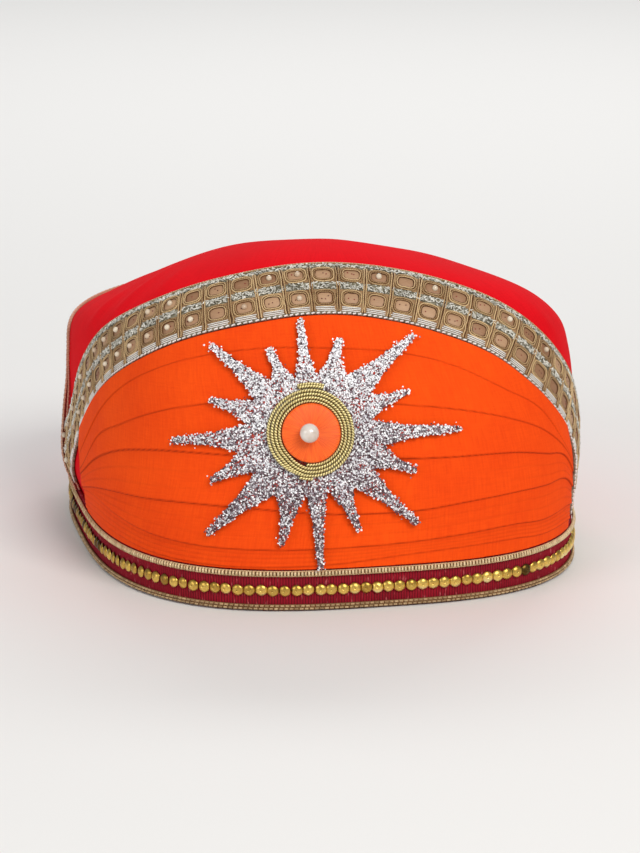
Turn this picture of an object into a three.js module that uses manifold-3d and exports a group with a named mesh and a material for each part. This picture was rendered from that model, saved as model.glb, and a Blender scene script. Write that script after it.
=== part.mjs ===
// A tied turban of the ready-made kind: a red cotton crown with a pleated orange swathe over the
// forehead, a wide gold and silver braid along the swathe's upper edge, and a trimmed rim band.
// Millimetres. The front faces -Y, up is +Z, and the turban stands on the hem of its rim.
import * as THREE from 'three';
import Module from 'manifold-3d';
import { mergeVertices } from 'three/addons/utils/BufferGeometryUtils.js';

// Crown
const rim_width = 170;
const rim_length = 206;
const rim_squareness = 2.95;
const rim_turn = 11;
const crown_height = 117;
const crown_wall = 2.6;

// Rim band
const ribbon_hem = 0.5;
const ribbon_height = 14;
const ribbon_thickness = 1.2;
const braid_height = 2.1;
const braid_thickness = 1.3;
const sequin_diameter = 4.2;
const sequin_rise = 1.4;

// Swathe over the forehead
const swathe_thickness = 2.2;
const pleat_rise = 0.9;
const pleat_edge = 0.7;
const swathe_left_end = -69;
const swathe_right_end = 58;

// Wide braid above the swathe, and the narrow edging behind it
const wide_braid_width = 21;
const wide_braid_thickness = 1.7;
const swathe_to_braid = 0.9;
const edging_width = 2;
const edging_thickness = 2.2;
const edging_foot = -85;
const edging_shoulder = 62;
const edging_side_lean = 16;
const edging_top_lean = 65;

// Star and its middle
const star_azimuth = -1.65;
const star_rise = 0.4;
const star_thickness = 0.8;
const long_ray = 49;
const short_ray = 36.5;
const star_notch = 22;
const star_stand_off = 0.9;
const pad_diameter = 19;
const pad_thickness = 2.4;
const coil_cord = 1.15;
const coil_turns = 4;
const pearl_diameter = 6;
const pearl_aside = 1;

// Pieces that touch keep this much air between their faces.
const clearance = 0.4;

// How finely round shapes are cut
const columns_round = 60;
const columns_swathe = 48;
const columns_braid = 52;
const sides_medallion = 20;
const edge_parts = 3;
const rings_outside = 15;
const rings_inside = 8;
const rows_behind = 8;
const walk_step = 3;
const edging_step = 5;
const edging_settle = 15;
const edging_ease = 0.4;

const ribbon_top = ribbon_hem + ribbon_height;
const cover = clearance + swathe_thickness + pleat_rise;

// The crown's shape, level by level from the ribbon's upper edge to the middle of the top.
// Each pair is [rise, reach]: rise is a share of the height above the ribbon, and reach is a share
// of half the rim's length at the front and back, or of half its width at the right and left.
const crown_levels = [
  { front: [0, 1], right: [0, 0.985], back: [0, 1], left: [0, 1.01] },
  { front: [0.23, 0.998], right: [0.23, 1.02], back: [0.14, 1.013], left: [0.13, 1.06] },
  { front: [0.48, 0.95], right: [0.4, 1.02], back: [0.295, 1.005], left: [0.33, 1.04] },
  { front: [0.67, 0.87], right: [0.535, 1.01], back: [0.425, 0.956], left: [0.485, 1.035] },
  { front: [0.815, 0.785], right: [0.635, 0.97], back: [0.52, 0.86], left: [0.615, 1.005] },
  { front: [0.93, 0.684], right: [0.715, 0.845], back: [0.59, 0.718], left: [0.715, 0.855] },
  { front: [0.985, 0.53], right: [0.775, 0.64], back: [0.66, 0.536], left: [0.8, 0.645] },
  { front: [0.97, 0.3], right: [0.84, 0.357], back: [0.74, 0.304], left: [0.86, 0.36] },
  { front: [0.86, 0], right: [0.86, 0], back: [0.86, 0], left: [0.86, 0] },
];

// The lower edge of the wide braid: azimuth in degrees from the front, positive to the right, and
// climb, which is the share of the way from the ribbon to the middle of the top.
const braid_path = [
  { azimuth: -90, climb: 0 },
  { azimuth: -80, climb: 0.105 },
  { azimuth: -70, climb: 0.217 },
  { azimuth: -58, climb: 0.309 },
  { azimuth: -44, climb: 0.387 },
  { azimuth: -28, climb: 0.457 },
  { azimuth: -12, climb: 0.492 },
  { azimuth: 0, climb: 0.5 },
  { azimuth: 14, climb: 0.487 },
  { azimuth: 26, climb: 0.457 },
  { azimuth: 37, climb: 0.397 },
  { azimuth: 45, climb: 0.314 },
  { azimuth: 50, climb: 0.257 },
  { azimuth: 54.5, climb: 0.205 },
  { azimuth: 58, climb: 0.157 },
  { azimuth: 61.5, climb: 0.11 },
  { azimuth: 64, climb: 0.06 },
  { azimuth: 66, climb: 0 },
];

// Folds of the swathe from the ribbon up, as shares of the way to the wide braid. They fan out over
// the forehead and draw together at the ends.
const folds = [
  { middle: 0.045, end: 0.12 },
  { middle: 0.11, end: 0.3 },
  { middle: 0.22, end: 0.4 },
  { middle: 0.41, end: 0.62 },
  { middle: 0.6, end: 0.72 },
  { middle: 0.86, end: 0.8 },
];

// The star's rays, anticlockwise from the one that points to the right. Heading in degrees, reach as
// a share of the long or the short ray, and notch as a share of the star's notch after the ray.
const rays = [
  { heading: 2, reach: 1.05, notch: 0.94 },
  { heading: 23, reach: 1, notch: 1.09 },
  { heading: 43, reach: 1.01, notch: 1.04 },
  { heading: 72.5, reach: 0.93, notch: 0.85 },
  { heading: 94.5, reach: 0.8, notch: 0.85 },
  { heading: 115.5, reach: 0.87, notch: 0.98 },
  { heading: 137, reach: 0.92, notch: 0.97 },
  { heading: 161, reach: 0.96, notch: 0.96 },
  { heading: 183, reach: 0.96, notch: 1.1 },
  { heading: 206, reach: 1, notch: 1.01 },
  { heading: 225, reach: 0.99, notch: 1.06 },
  { heading: 256, reach: 1.06, notch: 0.9 },
  { heading: 275, reach: 0.94, notch: 0.88 },
  { heading: 297.5, reach: 0.99, notch: 1.04 },
  { heading: 321, reach: 0.98, notch: 1.1 },
  { heading: 341, reach: 1.05, notch: 1.15 },
];

const radians = THREE.MathUtils.degToRad;
const wasm = await Module();
wasm.setup();

// The rim's plan: a squared oval, turned a little about the vertical.
function rimReach(azimuth) {
  const angle = azimuth - radians(rim_turn);
  const across = Math.abs(Math.sin(angle) / (rim_width / 2)) ** rim_squareness;
  const along = Math.abs(Math.cos(angle) / (rim_length / 2)) ** rim_squareness;
  return (across + along) ** (-1 / rim_squareness);
}

const sides = ['front', 'right', 'back', 'left'];
const meridians = new THREE.CubicInterpolant(
  crown_levels.map((level, i) => i / (crown_levels.length - 1)),
  crown_levels.flatMap((level) => sides.flatMap((side) => level[side])),
  2 * sides.length,
);

// A point of the crown's cloth. Climb 0 is the ribbon's upper edge and 1 the middle of the top. Below
// the ribbon's edge the wall drops straight to the hem.
const hem_climb = -ribbon_top / crown_height;
function crownPoint(azimuth, climb) {
  const [front_z, front_r, right_z, right_r, back_z, back_r, left_z, left_r] =
    meridians.evaluate(THREE.MathUtils.clamp(climb, 0, 1));
  const c = Math.cos(azimuth);
  const s = Math.sin(azimuth);
  const blend = (front, right, back, left) =>
    (c * c * (front + back) + s * s * (right + left) + c * (front - back) + s * (right - left)) / 2;
  const reach = blend(front_r, right_r, back_r, left_r) * rimReach(azimuth);
  const rise = blend(front_z, right_z, back_z, left_z) * (crown_height - ribbon_top);
  const drop = Math.max(-climb, 0) * crown_height;
  return new THREE.Vector3(reach * s, -reach * c, ribbon_top + rise - drop);
}

// How the crown's point moves with azimuth and with climb, and the way its cloth faces.
function crownFrame(azimuth, climb) {
  const step = 1e-3;
  const low = Math.min(climb, 1 - step);
  const along = crownPoint(azimuth + step, low).sub(crownPoint(azimuth - step, low));
  const up = crownPoint(azimuth, low + step).sub(crownPoint(azimuth, low - step));
  along.divideScalar(2 * step);
  up.divideScalar(2 * step);
  const facing = new THREE.Vector3().crossVectors(along, up).normalize();
  if (climb > 0.99) {
    const rightward = crownPoint(Math.PI / 2, low).sub(crownPoint(-Math.PI / 2, low));
    const backward = crownPoint(Math.PI, low).sub(crownPoint(0, low));
    facing.crossVectors(rightward, backward).normalize();
  }
  return { along, up, facing };
}

// A point lifted off the crown's cloth by some millimetres.
function onCrown(azimuth, climb, lift) {
  return crownPoint(azimuth, climb).addScaledVector(crownFrame(azimuth, climb).facing, lift);
}

// A place on the straight wall under the ribbon's upper edge, by its height.
function onRim(azimuth, height, lift) {
  return onCrown(azimuth, (height - ribbon_top) / crown_height, lift);
}

// Walks straight on over the crown from a place, and gives the place reached and the new heading.
function walk(place, heading, distance) {
  const steps = Math.max(1, Math.ceil(distance / walk_step));
  let { azimuth, climb } = place;
  const course = heading.clone();
  for (let i = 0; i < steps; i++) {
    const { along, up, facing } = crownFrame(azimuth, climb);
    course.projectOnPlane(facing).normalize();
    const aa = along.dot(along);
    const ab = along.dot(up);
    const bb = up.dot(up);
    const da = course.dot(along);
    const db = course.dot(up);
    const scale = distance / steps / (aa * bb - ab * ab);
    azimuth += (da * bb - db * ab) * scale;
    climb += (db * aa - da * ab) * scale;
  }
  return { azimuth, climb, heading: course };
}

// Makes one closed body from points and triangles; points that coincide become one.
function body(points, triangles) {
  const raw = new THREE.BufferGeometry();
  const numbers = points.flatMap((point) => point.toArray());
  raw.setAttribute('position', new THREE.Float32BufferAttribute(numbers, 3));
  raw.setIndex(triangles.flat());
  const merged = mergeVertices(raw, 1e-3);
  const index = merged.getIndex();
  const kept = [];
  for (let i = 0; i < index.count; i += 3) {
    const corners = [index.getX(i), index.getX(i + 1), index.getX(i + 2)];
    if (new Set(corners).size === 3) kept.push(...corners);
  }
  merged.setIndex(kept);
  merged.computeVertexNormals();
  return merged;
}

// Triangles that close the end of a run of sections.
function endTriangles(section, first, reversed) {
  const normal = new THREE.Vector3();
  section.forEach((point, i) => {
    normal.add(new THREE.Vector3().crossVectors(point, section[(i + 1) % section.length]));
  });
  normal.normalize();
  const across = section[1].clone().sub(section[0]).projectOnPlane(normal).normalize();
  const beyond = new THREE.Vector3().crossVectors(normal, across);
  const flat = section.map((point) => new THREE.Vector2(point.dot(across), point.dot(beyond)));
  return THREE.ShapeUtils.triangulateShape(flat, []).map(([a, b, c]) => {
    const turn = flat[b].clone().sub(flat[a]).cross(flat[c].clone().sub(flat[a]));
    const corners = turn > 0 !== reversed ? [a, b, c] : [a, c, b];
    return corners.map((corner) => corner + first);
  });
}

// Joins sections one after another. A ring of sections meets itself, a run gets closed ends. Each
// section lists its points so that the outer ones come first, going up.
function loft(sections, ring) {
  const count = sections[0].length;
  const triangles = [];
  const spans = ring ? sections.length : sections.length - 1;
  for (let i = 0; i < spans; i++) {
    const near = i * count;
    const far = ((i + 1) % sections.length) * count;
    for (let j = 0; j < count; j++) {
      const k = (j + 1) % count;
      triangles.push([near + j, far + j, far + k], [near + j, far + k, near + k]);
    }
  }
  if (!ring) {
    triangles.push(...endTriangles(sections[0], 0, false));
    triangles.push(...endTriangles(sections.at(-1), (sections.length - 1) * count, true));
  }
  return body(sections.flat(), triangles);
}

// Even shares from one value to another, both included.
function spread(from, to, count) {
  return Array.from({ length: count + 1 }, (unused, i) => from + ((to - from) * i) / count);
}

const round_azimuths = spread(-Math.PI, Math.PI, columns_round).slice(0, -1);

// Crown: a hollow shell, hem ring below, domed top.
function crown() {
  const up = [hem_climb, ...spread(0, 1, rings_outside - 1)];
  const down = [...spread(1, 0, rings_inside - 1), hem_climb];
  const sections = round_azimuths.map((azimuth) => [
    ...up.map((climb) => onCrown(azimuth, climb, 0)),
    ...down.map((climb) => onCrown(azimuth, climb, -crown_wall)),
  ]);
  return loft(sections, true);
}

// A hoop round the rim wall, by the height of its lower edge, its own height and its lift.
function rimHoop(bottom, height, lift, thickness) {
  const sections = round_azimuths.map((azimuth) => [
    onRim(azimuth, bottom, lift + thickness),
    onRim(azimuth, bottom + height, lift + thickness),
    onRim(azimuth, bottom + height, lift),
    onRim(azimuth, bottom, lift),
  ]);
  return loft(sections, true);
}

const path_climb = new THREE.CubicInterpolant(
  braid_path.map((point) => point.azimuth),
  braid_path.map((point) => point.climb),
  1,
);

// A place on the wide braid's lower edge.
function braidEdge(azimuth) {
  const [climb] = path_climb.evaluate(THREE.MathUtils.radToDeg(azimuth));
  return { azimuth, climb };
}

// A plane across the turban through a point, leaning back by some degrees.
function leaningPlane(point, lean) {
  const normal = new THREE.Vector3(0, Math.cos(radians(lean)), -Math.sin(radians(lean)));
  return new THREE.Plane().setFromNormalAndCoplanarPoint(normal, point);
}

// The narrow edging goes up the sides in one plane, and from its shoulders on over the top in another
// that leans back further.
const edging_start = { azimuth: radians(edging_foot), climb: hem_climb / 2 };
const edging_foot_point = crownPoint(edging_start.azimuth, edging_start.climb);
const edging_side_plane = leaningPlane(edging_foot_point, edging_side_lean);
const edging_run = (edging_shoulder - edging_foot_point.z) * Math.tan(radians(edging_side_lean));
const shoulder_point = new THREE.Vector3(0, edging_foot_point.y + edging_run, edging_shoulder);
const edging_top_plane = leaningPlane(shoulder_point, edging_top_lean);

// Where pieces that tuck in behind others are cut off: what each normal points to is kept.
const above_ribbon = { normal: new THREE.Vector3(0, 0, 1), offset: ribbon_top + clearance };
const before_edging = {
  normal: edging_side_plane.normal.clone().negate(),
  offset: 2 * clearance + edging_side_plane.constant,
};

// Cuts a closed body off at planes.
function cutFrom(geometry, ...planes) {
  geometry.deleteAttribute('normal');
  let solid = new wasm.Manifold(new wasm.Mesh({
    numProp: 3,
    vertProperties: geometry.getAttribute('position').array,
    triVerts: new Uint32Array(geometry.getIndex().array),
  }));
  for (const plane of planes) solid = solid.trimByPlane(plane.normal.toArray(), plane.offset);
  const kept = solid.getMesh();
  const result = new THREE.BufferGeometry();
  result.setAttribute('position', new THREE.Float32BufferAttribute(kept.vertProperties, 3));
  result.setIndex(Array.from(kept.triVerts));
  result.computeVertexNormals();
  return result;
}

// Front swathe: from the ribbon up to the wide braid, one step of cloth at each fold.
function swathe() {
  const half = (swathe_right_end - swathe_left_end) / 2;
  const middle = (swathe_right_end + swathe_left_end) / 2;
  const azimuths = spread(radians(swathe_left_end), radians(swathe_right_end), columns_swathe);
  const sections = azimuths.map((azimuth) => {
    const { up } = crownFrame(azimuth, 0.1);
    const bottom = hem_climb / 8;
    const top = braidEdge(azimuth).climb - swathe_to_braid / up.length();
    const toward_end = Math.abs((THREE.MathUtils.radToDeg(azimuth) - middle) / half) ** 2.5;
    const edge = pleat_edge / ((top - bottom) * up.length());
    const rows = [{ share: 0, lift: pleat_rise }];
    for (const fold of folds) {
      const share = THREE.MathUtils.lerp(fold.middle, fold.end, toward_end);
      rows.push({ share: share - edge / 2, lift: 0 }, { share: share + edge / 2, lift: pleat_rise });
    }
    rows.push({ share: 0.93, lift: pleat_rise / 2 }, { share: 1, lift: 0 });
    const climb = (share) => THREE.MathUtils.lerp(bottom, top, share);
    return [
      ...rows.map(({ share, lift }) => onCrown(azimuth, climb(share), clearance + swathe_thickness + lift)),
      ...spread(1, 0, rows_behind).map((share) => onCrown(azimuth, climb(share), clearance)),
    ];
  });
  return cutFrom(loft(sections, false), above_ribbon);
}

// A strip laid on the crown along places, as wide as given on the upper side of its path.
function strip(places, width, thickness, across_count) {
  const sections = places.map(({ azimuth, climb, heading }) => {
    const { facing } = crownFrame(azimuth, climb);
    const upward = new THREE.Vector3().crossVectors(facing, heading).normalize();
    const across = spread(0, width, across_count).map((reach) => walk({ azimuth, climb }, upward, reach));
    const lifted = (place, lift) => onCrown(place.azimuth, place.climb, lift);
    return [
      ...across.map((place) => lifted(place, clearance + thickness)),
      ...across.toReversed().map((place) => lifted(place, clearance)),
    ];
  });
  return loft(sections, false);
}

// Wide braid: follows its path and runs straight on at both feet, cut off where it goes behind the
// ribbon and under the edging.
function wideBraid() {
  const first = radians(braid_path[0].azimuth);
  const last = radians(braid_path.at(-1).azimuth);
  const azimuths = spread(first, last, columns_braid);
  const places = azimuths.map((azimuth) => {
    const ahead = braidEdge(Math.min(azimuth + 0.02, last));
    const behind = braidEdge(Math.max(azimuth - 0.02, first));
    const heading = crownPoint(ahead.azimuth, ahead.climb);
    heading.sub(crownPoint(behind.azimuth, behind.climb)).normalize();
    return { ...braidEdge(azimuth), heading };
  });
  const foot = 2 * ribbon_height;
  const before = [foot, foot / 2].map((distance) => {
    const place = walk(places[0], places[0].heading.clone().negate(), distance);
    return { ...place, heading: place.heading.negate() };
  });
  const after = [foot / 2, foot].map((distance) => walk(places.at(-1), places.at(-1).heading, distance));
  const braid = strip([...before, ...places, ...after], wide_braid_width, wide_braid_thickness, 4);
  return cutFrom(braid, above_ribbon, before_edging);
}

// Narrow edging: from ear to ear over the crown, steered gently back to its planes at each step.
function edging() {
  const { facing: outward } = crownFrame(edging_start.azimuth, edging_start.climb);
  const upward = new THREE.Vector3().crossVectors(edging_side_plane.normal, outward);
  const places = [{ ...edging_start, heading: upward }];
  while (places.at(-1).climb > hem_climb * 0.6) {
    const last = places.at(-1);
    const point = crownPoint(last.azimuth, last.climb);
    const plane = point.z < edging_shoulder ? edging_side_plane : edging_top_plane;
    const { facing } = crownFrame(last.azimuth, last.climb);
    const course = new THREE.Vector3().crossVectors(plane.normal, facing).normalize();
    course.addScaledVector(plane.normal, -plane.distanceToPoint(point) / edging_settle).normalize();
    last.heading.lerp(course, edging_ease).projectOnPlane(facing).normalize();
    places.push(walk(last, last.heading, edging_step));
  }
  places.pop();
  return cutFrom(strip(places, edging_width, edging_thickness, 1), above_ribbon);
}

// A ray's length from the star's middle to its tip: long and short rays take turns.
function rayLength(ray, i) {
  return ray.reach * (i % 2 === 0 ? long_ray : short_ray);
}

// The star's lowest tip comes down to just above the ribbon, and that sets its middle.
const lowest_tip = Math.max(...rays.map((ray, i) => -Math.sin(radians(ray.heading)) * rayLength(ray, i)));
const star_foot = { azimuth: radians(star_azimuth), climb: 0 };
const star_middle = walk(star_foot, new THREE.Vector3(0, 0, 1), lowest_tip + star_rise);

// A point of the star's sheet, by heading and distance from its middle, lifted off the crown.
function onStar(heading, distance, lift) {
  const { facing } = crownFrame(star_middle.azimuth, star_middle.climb);
  const rightward = new THREE.Vector3(1, 0, 0).projectOnPlane(facing).normalize();
  const upward = new THREE.Vector3().crossVectors(facing, rightward);
  const course = rightward.multiplyScalar(Math.cos(heading)).addScaledVector(upward, Math.sin(heading));
  const place = distance > 0 ? walk(star_middle, course, distance) : star_middle;
  return onCrown(place.azimuth, place.climb, lift);
}

// A round piece on the star: its profile is a list of [radius, lift], outer rim first, going up.
function onStarRound(profile) {
  const headings = spread(0, 2 * Math.PI, sides_medallion).slice(0, -1);
  const section = (heading) => profile.map(([radius, lift]) => onStar(heading, radius, lift));
  return loft(headings.map(section), true);
}

const star_lift = cover + star_stand_off;
const medallion_lift = star_lift + star_thickness + clearance;

// A corner of the star's outline on its flat sheet.
function onSheet({ heading, reach }) {
  return new THREE.Vector2(Math.cos(radians(heading)), Math.sin(radians(heading))).multiplyScalar(reach);
}

// Star: a glittered sheet with rays.
function sunburst() {
  const corners = rays.flatMap((ray, i) => {
    const next = rays[(i + 1) % rays.length];
    const turn = THREE.MathUtils.euclideanModulo(next.heading - ray.heading, 360);
    return [
      { heading: ray.heading, reach: rayLength(ray, i) },
      { heading: ray.heading + turn / 2, reach: ray.notch * star_notch },
    ];
  });
  const outline = corners.flatMap((corner, i) => {
    const next = corners[(i + 1) % corners.length];
    const here = onSheet(corner);
    const there = onSheet(next);
    return spread(0, 1, edge_parts).slice(0, -1).map((share) => here.clone().lerp(there, share));
  });
  const sections = outline.map((point) => {
    const heading = point.angle();
    const reach = point.length();
    const outward = spread(0, reach, 4);
    return [
      ...outward.toReversed().map((radius) => onStar(heading, radius, star_lift + star_thickness)),
      ...outward.map((radius) => onStar(heading, radius, star_lift)),
    ];
  });
  return loft(sections, true);
}

// Thread-wound disc in the middle of the star, gently domed.
function medallionPad() {
  const radius = pad_diameter / 2;
  const top = medallion_lift + pad_thickness;
  return onStarRound([
    [radius, medallion_lift],
    [radius, medallion_lift + pad_thickness / 2],
    [radius * 0.8, top - pad_thickness / 8],
    [radius * 0.4, top],
    [0, top],
    [0, medallion_lift],
  ]);
}

// Cord coiled flat round the disc, turn against turn.
function medallionCoil() {
  const inner = pad_diameter / 2 + clearance;
  const outer = inner + coil_turns * coil_cord;
  const profile = [[outer, medallion_lift], [outer, medallion_lift + coil_cord * 0.6]];
  for (let turn = coil_turns; turn > 0; turn--) {
    const middle = inner + (turn - 0.5) * coil_cord;
    profile.push([middle, medallion_lift + coil_cord]);
    profile.push([middle - coil_cord / 2, medallion_lift + coil_cord * 0.6]);
  }
  profile.push([inner, medallion_lift]);
  return onStarRound(profile);
}

// One named piece with its own material.
function piece(name, geometry, colour, roughness, metalness) {
  const material = new THREE.MeshStandardMaterial({ color: colour, roughness, metalness });
  const mesh = new THREE.Mesh(geometry, material);
  mesh.name = name;
  return mesh;
}

const ribbon_outside = clearance + ribbon_thickness;
const trim_lift = ribbon_outside + clearance;
const sequin_bottom = ribbon_hem + (ribbon_height - sequin_diameter) / 2;
const upper_braid_bottom = ribbon_top - braid_height;

const ribbon = rimHoop(ribbon_hem, ribbon_height, clearance, ribbon_thickness);
const upper_braid = rimHoop(upper_braid_bottom, braid_height, trim_lift, braid_thickness);
const lower_braid = rimHoop(ribbon_hem, braid_height, trim_lift, braid_thickness);
const sequins = rimHoop(sequin_bottom, sequin_diameter, trim_lift, sequin_rise);

const turban = new THREE.Group();
turban.add(
  piece('crown', crown(), '#d3141c', 0.85, 0),
  piece('front_wrap', swathe(), '#ee4b0d', 0.85, 0),
  piece('zari_band', wideBraid(), '#a4865a', 0.5, 0.4),
  piece('back_lace', edging(), '#c98a72', 0.7, 0),
  piece('rim_ribbon', ribbon, '#7c0d1c', 0.8, 0),
  piece('rim_braid_upper', upper_braid, '#b8935a', 0.45, 0.6),
  piece('rim_braid_lower', lower_braid, '#b8935a', 0.45, 0.6),
  piece('sequin_string', sequins, '#d9b25a', 0.3, 0.9),
  piece('sunburst', sunburst(), '#c9ccd2', 0.35, 0.7),
  piece('medallion_pad', medallionPad(), '#ee5a14', 0.8, 0),
  piece('medallion_coil', medallionCoil(), '#a88a4a', 0.4, 0.8),
);

// Pearl: sewn to the disc, a little aside from its middle.
const pearl = piece('pearl', new THREE.SphereGeometry(pearl_diameter / 2, 14, 10), '#efe6dc', 0.3, 0);
const pearl_lift = medallion_lift + pad_thickness + clearance + pearl_diameter / 2;
pearl.position.copy(onStar(Math.PI, pearl_aside, pearl_lift));
turban.add(pearl);

// The turban stands on its hem with the middle of its outline over the origin.
const outline = new THREE.Box3().setFromObject(turban, true);
const centre = outline.getCenter(new THREE.Vector3());
turban.position.set(-centre.x, -centre.y, -outline.min.z);

const group = new THREE.Group();
group.add(turban);
export default group;
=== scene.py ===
"""A ready-tied turban: red cotton crown, pleated orange swathe with a glitter star, wide gold and silver
braid and a sequinned rim band. Shapes are worked out in millimetres over one crown surface."""

import math

import bmesh
import bpy
import numpy as np
from mathutils import Matrix, Vector


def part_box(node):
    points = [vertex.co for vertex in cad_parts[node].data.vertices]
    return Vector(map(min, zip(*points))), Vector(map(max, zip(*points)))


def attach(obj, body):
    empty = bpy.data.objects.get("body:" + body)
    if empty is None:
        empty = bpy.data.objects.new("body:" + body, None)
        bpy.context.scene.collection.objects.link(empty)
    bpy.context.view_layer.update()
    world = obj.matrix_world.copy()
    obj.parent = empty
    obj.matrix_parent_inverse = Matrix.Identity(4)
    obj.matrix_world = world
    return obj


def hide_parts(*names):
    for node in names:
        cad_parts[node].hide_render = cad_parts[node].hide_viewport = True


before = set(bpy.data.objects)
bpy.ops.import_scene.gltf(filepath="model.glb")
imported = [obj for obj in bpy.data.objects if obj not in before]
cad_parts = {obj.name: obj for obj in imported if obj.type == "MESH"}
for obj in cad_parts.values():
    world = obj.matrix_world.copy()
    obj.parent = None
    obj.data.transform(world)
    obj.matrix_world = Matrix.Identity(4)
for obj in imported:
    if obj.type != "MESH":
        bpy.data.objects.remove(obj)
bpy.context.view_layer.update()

# Studio. Not part of the object: a pale floor, a big soft lamp high on the right, a weaker one on
# the left, a strip behind, and the camera where the photograph was taken from.
floor_size = 8.0
camera_tilt = math.radians(16)
camera_pitch = math.radians(1.29)
camera_distance = 1.6
camera_lens = 184.5
crown_foot = Vector((0.0009, 0.00293, 0))

floor_mesh = bpy.data.meshes.new("floor")
half_floor = floor_size / 2
floor_mesh.from_pydata(
    [(x * half_floor, y * half_floor, 0) for x, y in ((-1, -1), (1, -1), (1, 1), (-1, 1))],
    [],
    [(0, 1, 2, 3)],
)
floor = bpy.data.objects.new("floor", floor_mesh)
bpy.context.scene.collection.objects.link(floor)
paper = bpy.data.materials.new("pale paper")
paper.use_nodes = True
paper.node_tree.nodes["Principled BSDF"].inputs["Base Color"].default_value = (0.8, 0.79, 0.77, 1)
paper.node_tree.nodes["Principled BSDF"].inputs["Roughness"].default_value = 0.9
floor.data.materials.append(paper)


def softbox(name, place, aim, width, height, power, colour):
    """A rectangular area lamp at place that looks at aim."""
    data = bpy.data.lights.new(name, "AREA")
    data.shape = "RECTANGLE"
    data.size, data.size_y, data.energy, data.color = width, height, power, colour
    lamp = bpy.data.objects.new(name, data)
    lamp.location = place
    lamp.rotation_mode = "QUATERNION"
    lamp.rotation_quaternion = (Vector(aim) - Vector(place)).to_track_quat("-Z", "Y")
    bpy.context.scene.collection.objects.link(lamp)


softbox("key", (0.7, -1.3, 1.2), (0, 0, 0.05), 0.9, 0.7, 20, (1, 0.98, 0.95))
softbox("fill", (-1.3, -1.1, 0.7), (0, 0, 0.05), 1.0, 0.8, 7, (0.96, 0.98, 1))
softbox("strip", (0.1, 1.2, 1.0), (0, 0, 0.08), 1.2, 0.3, 9, (1, 1, 1))
world = bpy.data.worlds.new("studio")
world.use_nodes = True
world.node_tree.nodes["Background"].inputs["Color"].default_value = (0.93, 0.94, 0.96, 1)
world.node_tree.nodes["Background"].inputs["Strength"].default_value = 0.45
bpy.context.scene.world = world
bpy.context.scene.view_settings.view_transform = "Standard"

camera_data = bpy.data.cameras.new("camera")
camera_data.lens = camera_lens
camera_data.clip_start, camera_data.clip_end = 0.05, 30
camera = bpy.data.objects.new("camera", camera_data)
camera.location = crown_foot + camera_distance * Vector((0, -math.cos(camera_tilt), math.sin(camera_tilt)))
camera.rotation_euler = (math.pi / 2 - camera_tilt + camera_pitch, 0, 0)
bpy.context.scene.collection.objects.link(camera)
bpy.context.scene.camera = camera

# Crown. Red cotton drawn smoothly over a stiff base and lined, open below for the head. It is one
# shell from the hem over the domed top and back down inside.
rim_width, rim_length, rim_squareness, rim_turn = 170, 206, 2.95, math.radians(11)
crown_height, crown_wall = 117, 2.6
ribbon_hem, ribbon_height = 0.5, 14
ribbon_top = ribbon_hem + ribbon_height
hem_climb = -ribbon_top / crown_height

# Rise and reach of the front, right, back and left meridians, level by level to the top.
crown_levels = np.array([
    [0, 1, 0, 0.985, 0, 1, 0, 1.01],
    [0.23, 0.998, 0.23, 1.02, 0.14, 1.013, 0.13, 1.06],
    [0.48, 0.95, 0.4, 1.02, 0.295, 1.005, 0.33, 1.04],
    [0.67, 0.87, 0.535, 1.01, 0.425, 0.956, 0.485, 1.035],
    [0.815, 0.785, 0.635, 0.97, 0.52, 0.86, 0.615, 1.005],
    [0.93, 0.684, 0.715, 0.845, 0.59, 0.718, 0.715, 0.855],
    [0.985, 0.53, 0.775, 0.64, 0.66, 0.536, 0.8, 0.645],
    [0.97, 0.3, 0.84, 0.357, 0.74, 0.304, 0.86, 0.36],
    [0.86, 0, 0.86, 0, 0.86, 0, 0.86, 0],
])


def smooth(at, knots, values):
    """A smooth curve through values at knots: a cubic in each span, whose slope at a knot is the mean
    slope of the two chords that meet there."""
    knots, values, at = np.asarray(knots, float), np.asarray(values, float), np.asarray(at, float)
    chords = np.diff(values, axis=0) / np.diff(knots)[:, None]
    slopes = np.concatenate([chords[:1], (chords[:-1] + chords[1:]) / 2, chords[-1:]])
    i = np.clip(np.searchsorted(knots, at, side="right") - 1, 0, len(knots) - 2)
    span = (knots[i + 1] - knots[i])[..., None]
    p = (at - knots[i])[..., None] / span
    return (
        (1 + 2 * p) * (1 - p) ** 2 * values[i]
        + p * (1 - p) ** 2 * span * slopes[i]
        + p**2 * (3 - 2 * p) * values[i + 1]
        + p**2 * (p - 1) * span * slopes[i + 1]
    )


def rim_reach(azimuth):
    """Radius of the rim's squared oval, where the sum of |across|^n and |along|^n is 1, turned about the
    vertical."""
    angle = azimuth - rim_turn
    across = np.abs(np.sin(angle) / (rim_width / 2)) ** rim_squareness
    along = np.abs(np.cos(angle) / (rim_length / 2)) ** rim_squareness
    return (across + along) ** (-1 / rim_squareness)


def crown_point(azimuth, climb):
    """The crown's cloth: the four meridians' rise and reach, blended by the squares of sine and cosine,
    times the rim's radius. Below climb 0 the wall drops straight to the hem."""
    azimuth, climb = np.broadcast_arrays(azimuth, climb)
    knots = np.linspace(0, 1, len(crown_levels))
    rows = smooth(np.clip(climb, 0, 1), knots, crown_levels)
    front, right, back, left = (rows[..., 2 * i : 2 * i + 2] for i in range(4))
    c, s = np.cos(azimuth)[..., None], np.sin(azimuth)[..., None]
    blend = (c * c * (front + back) + s * s * (right + left) + c * (front - back) + s * (right - left)) / 2
    reach = blend[..., 1] * rim_reach(azimuth)
    height = ribbon_top + blend[..., 0] * (crown_height - ribbon_top) + np.minimum(climb, 0) * crown_height
    return joined(reach * s[..., 0], -reach * c[..., 0], height)


def joined(*parts):
    """Numbers and arrays, spread to one shape, as the parts of points or of map places."""
    return np.stack(np.broadcast_arrays(*parts), axis=-1)


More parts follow.
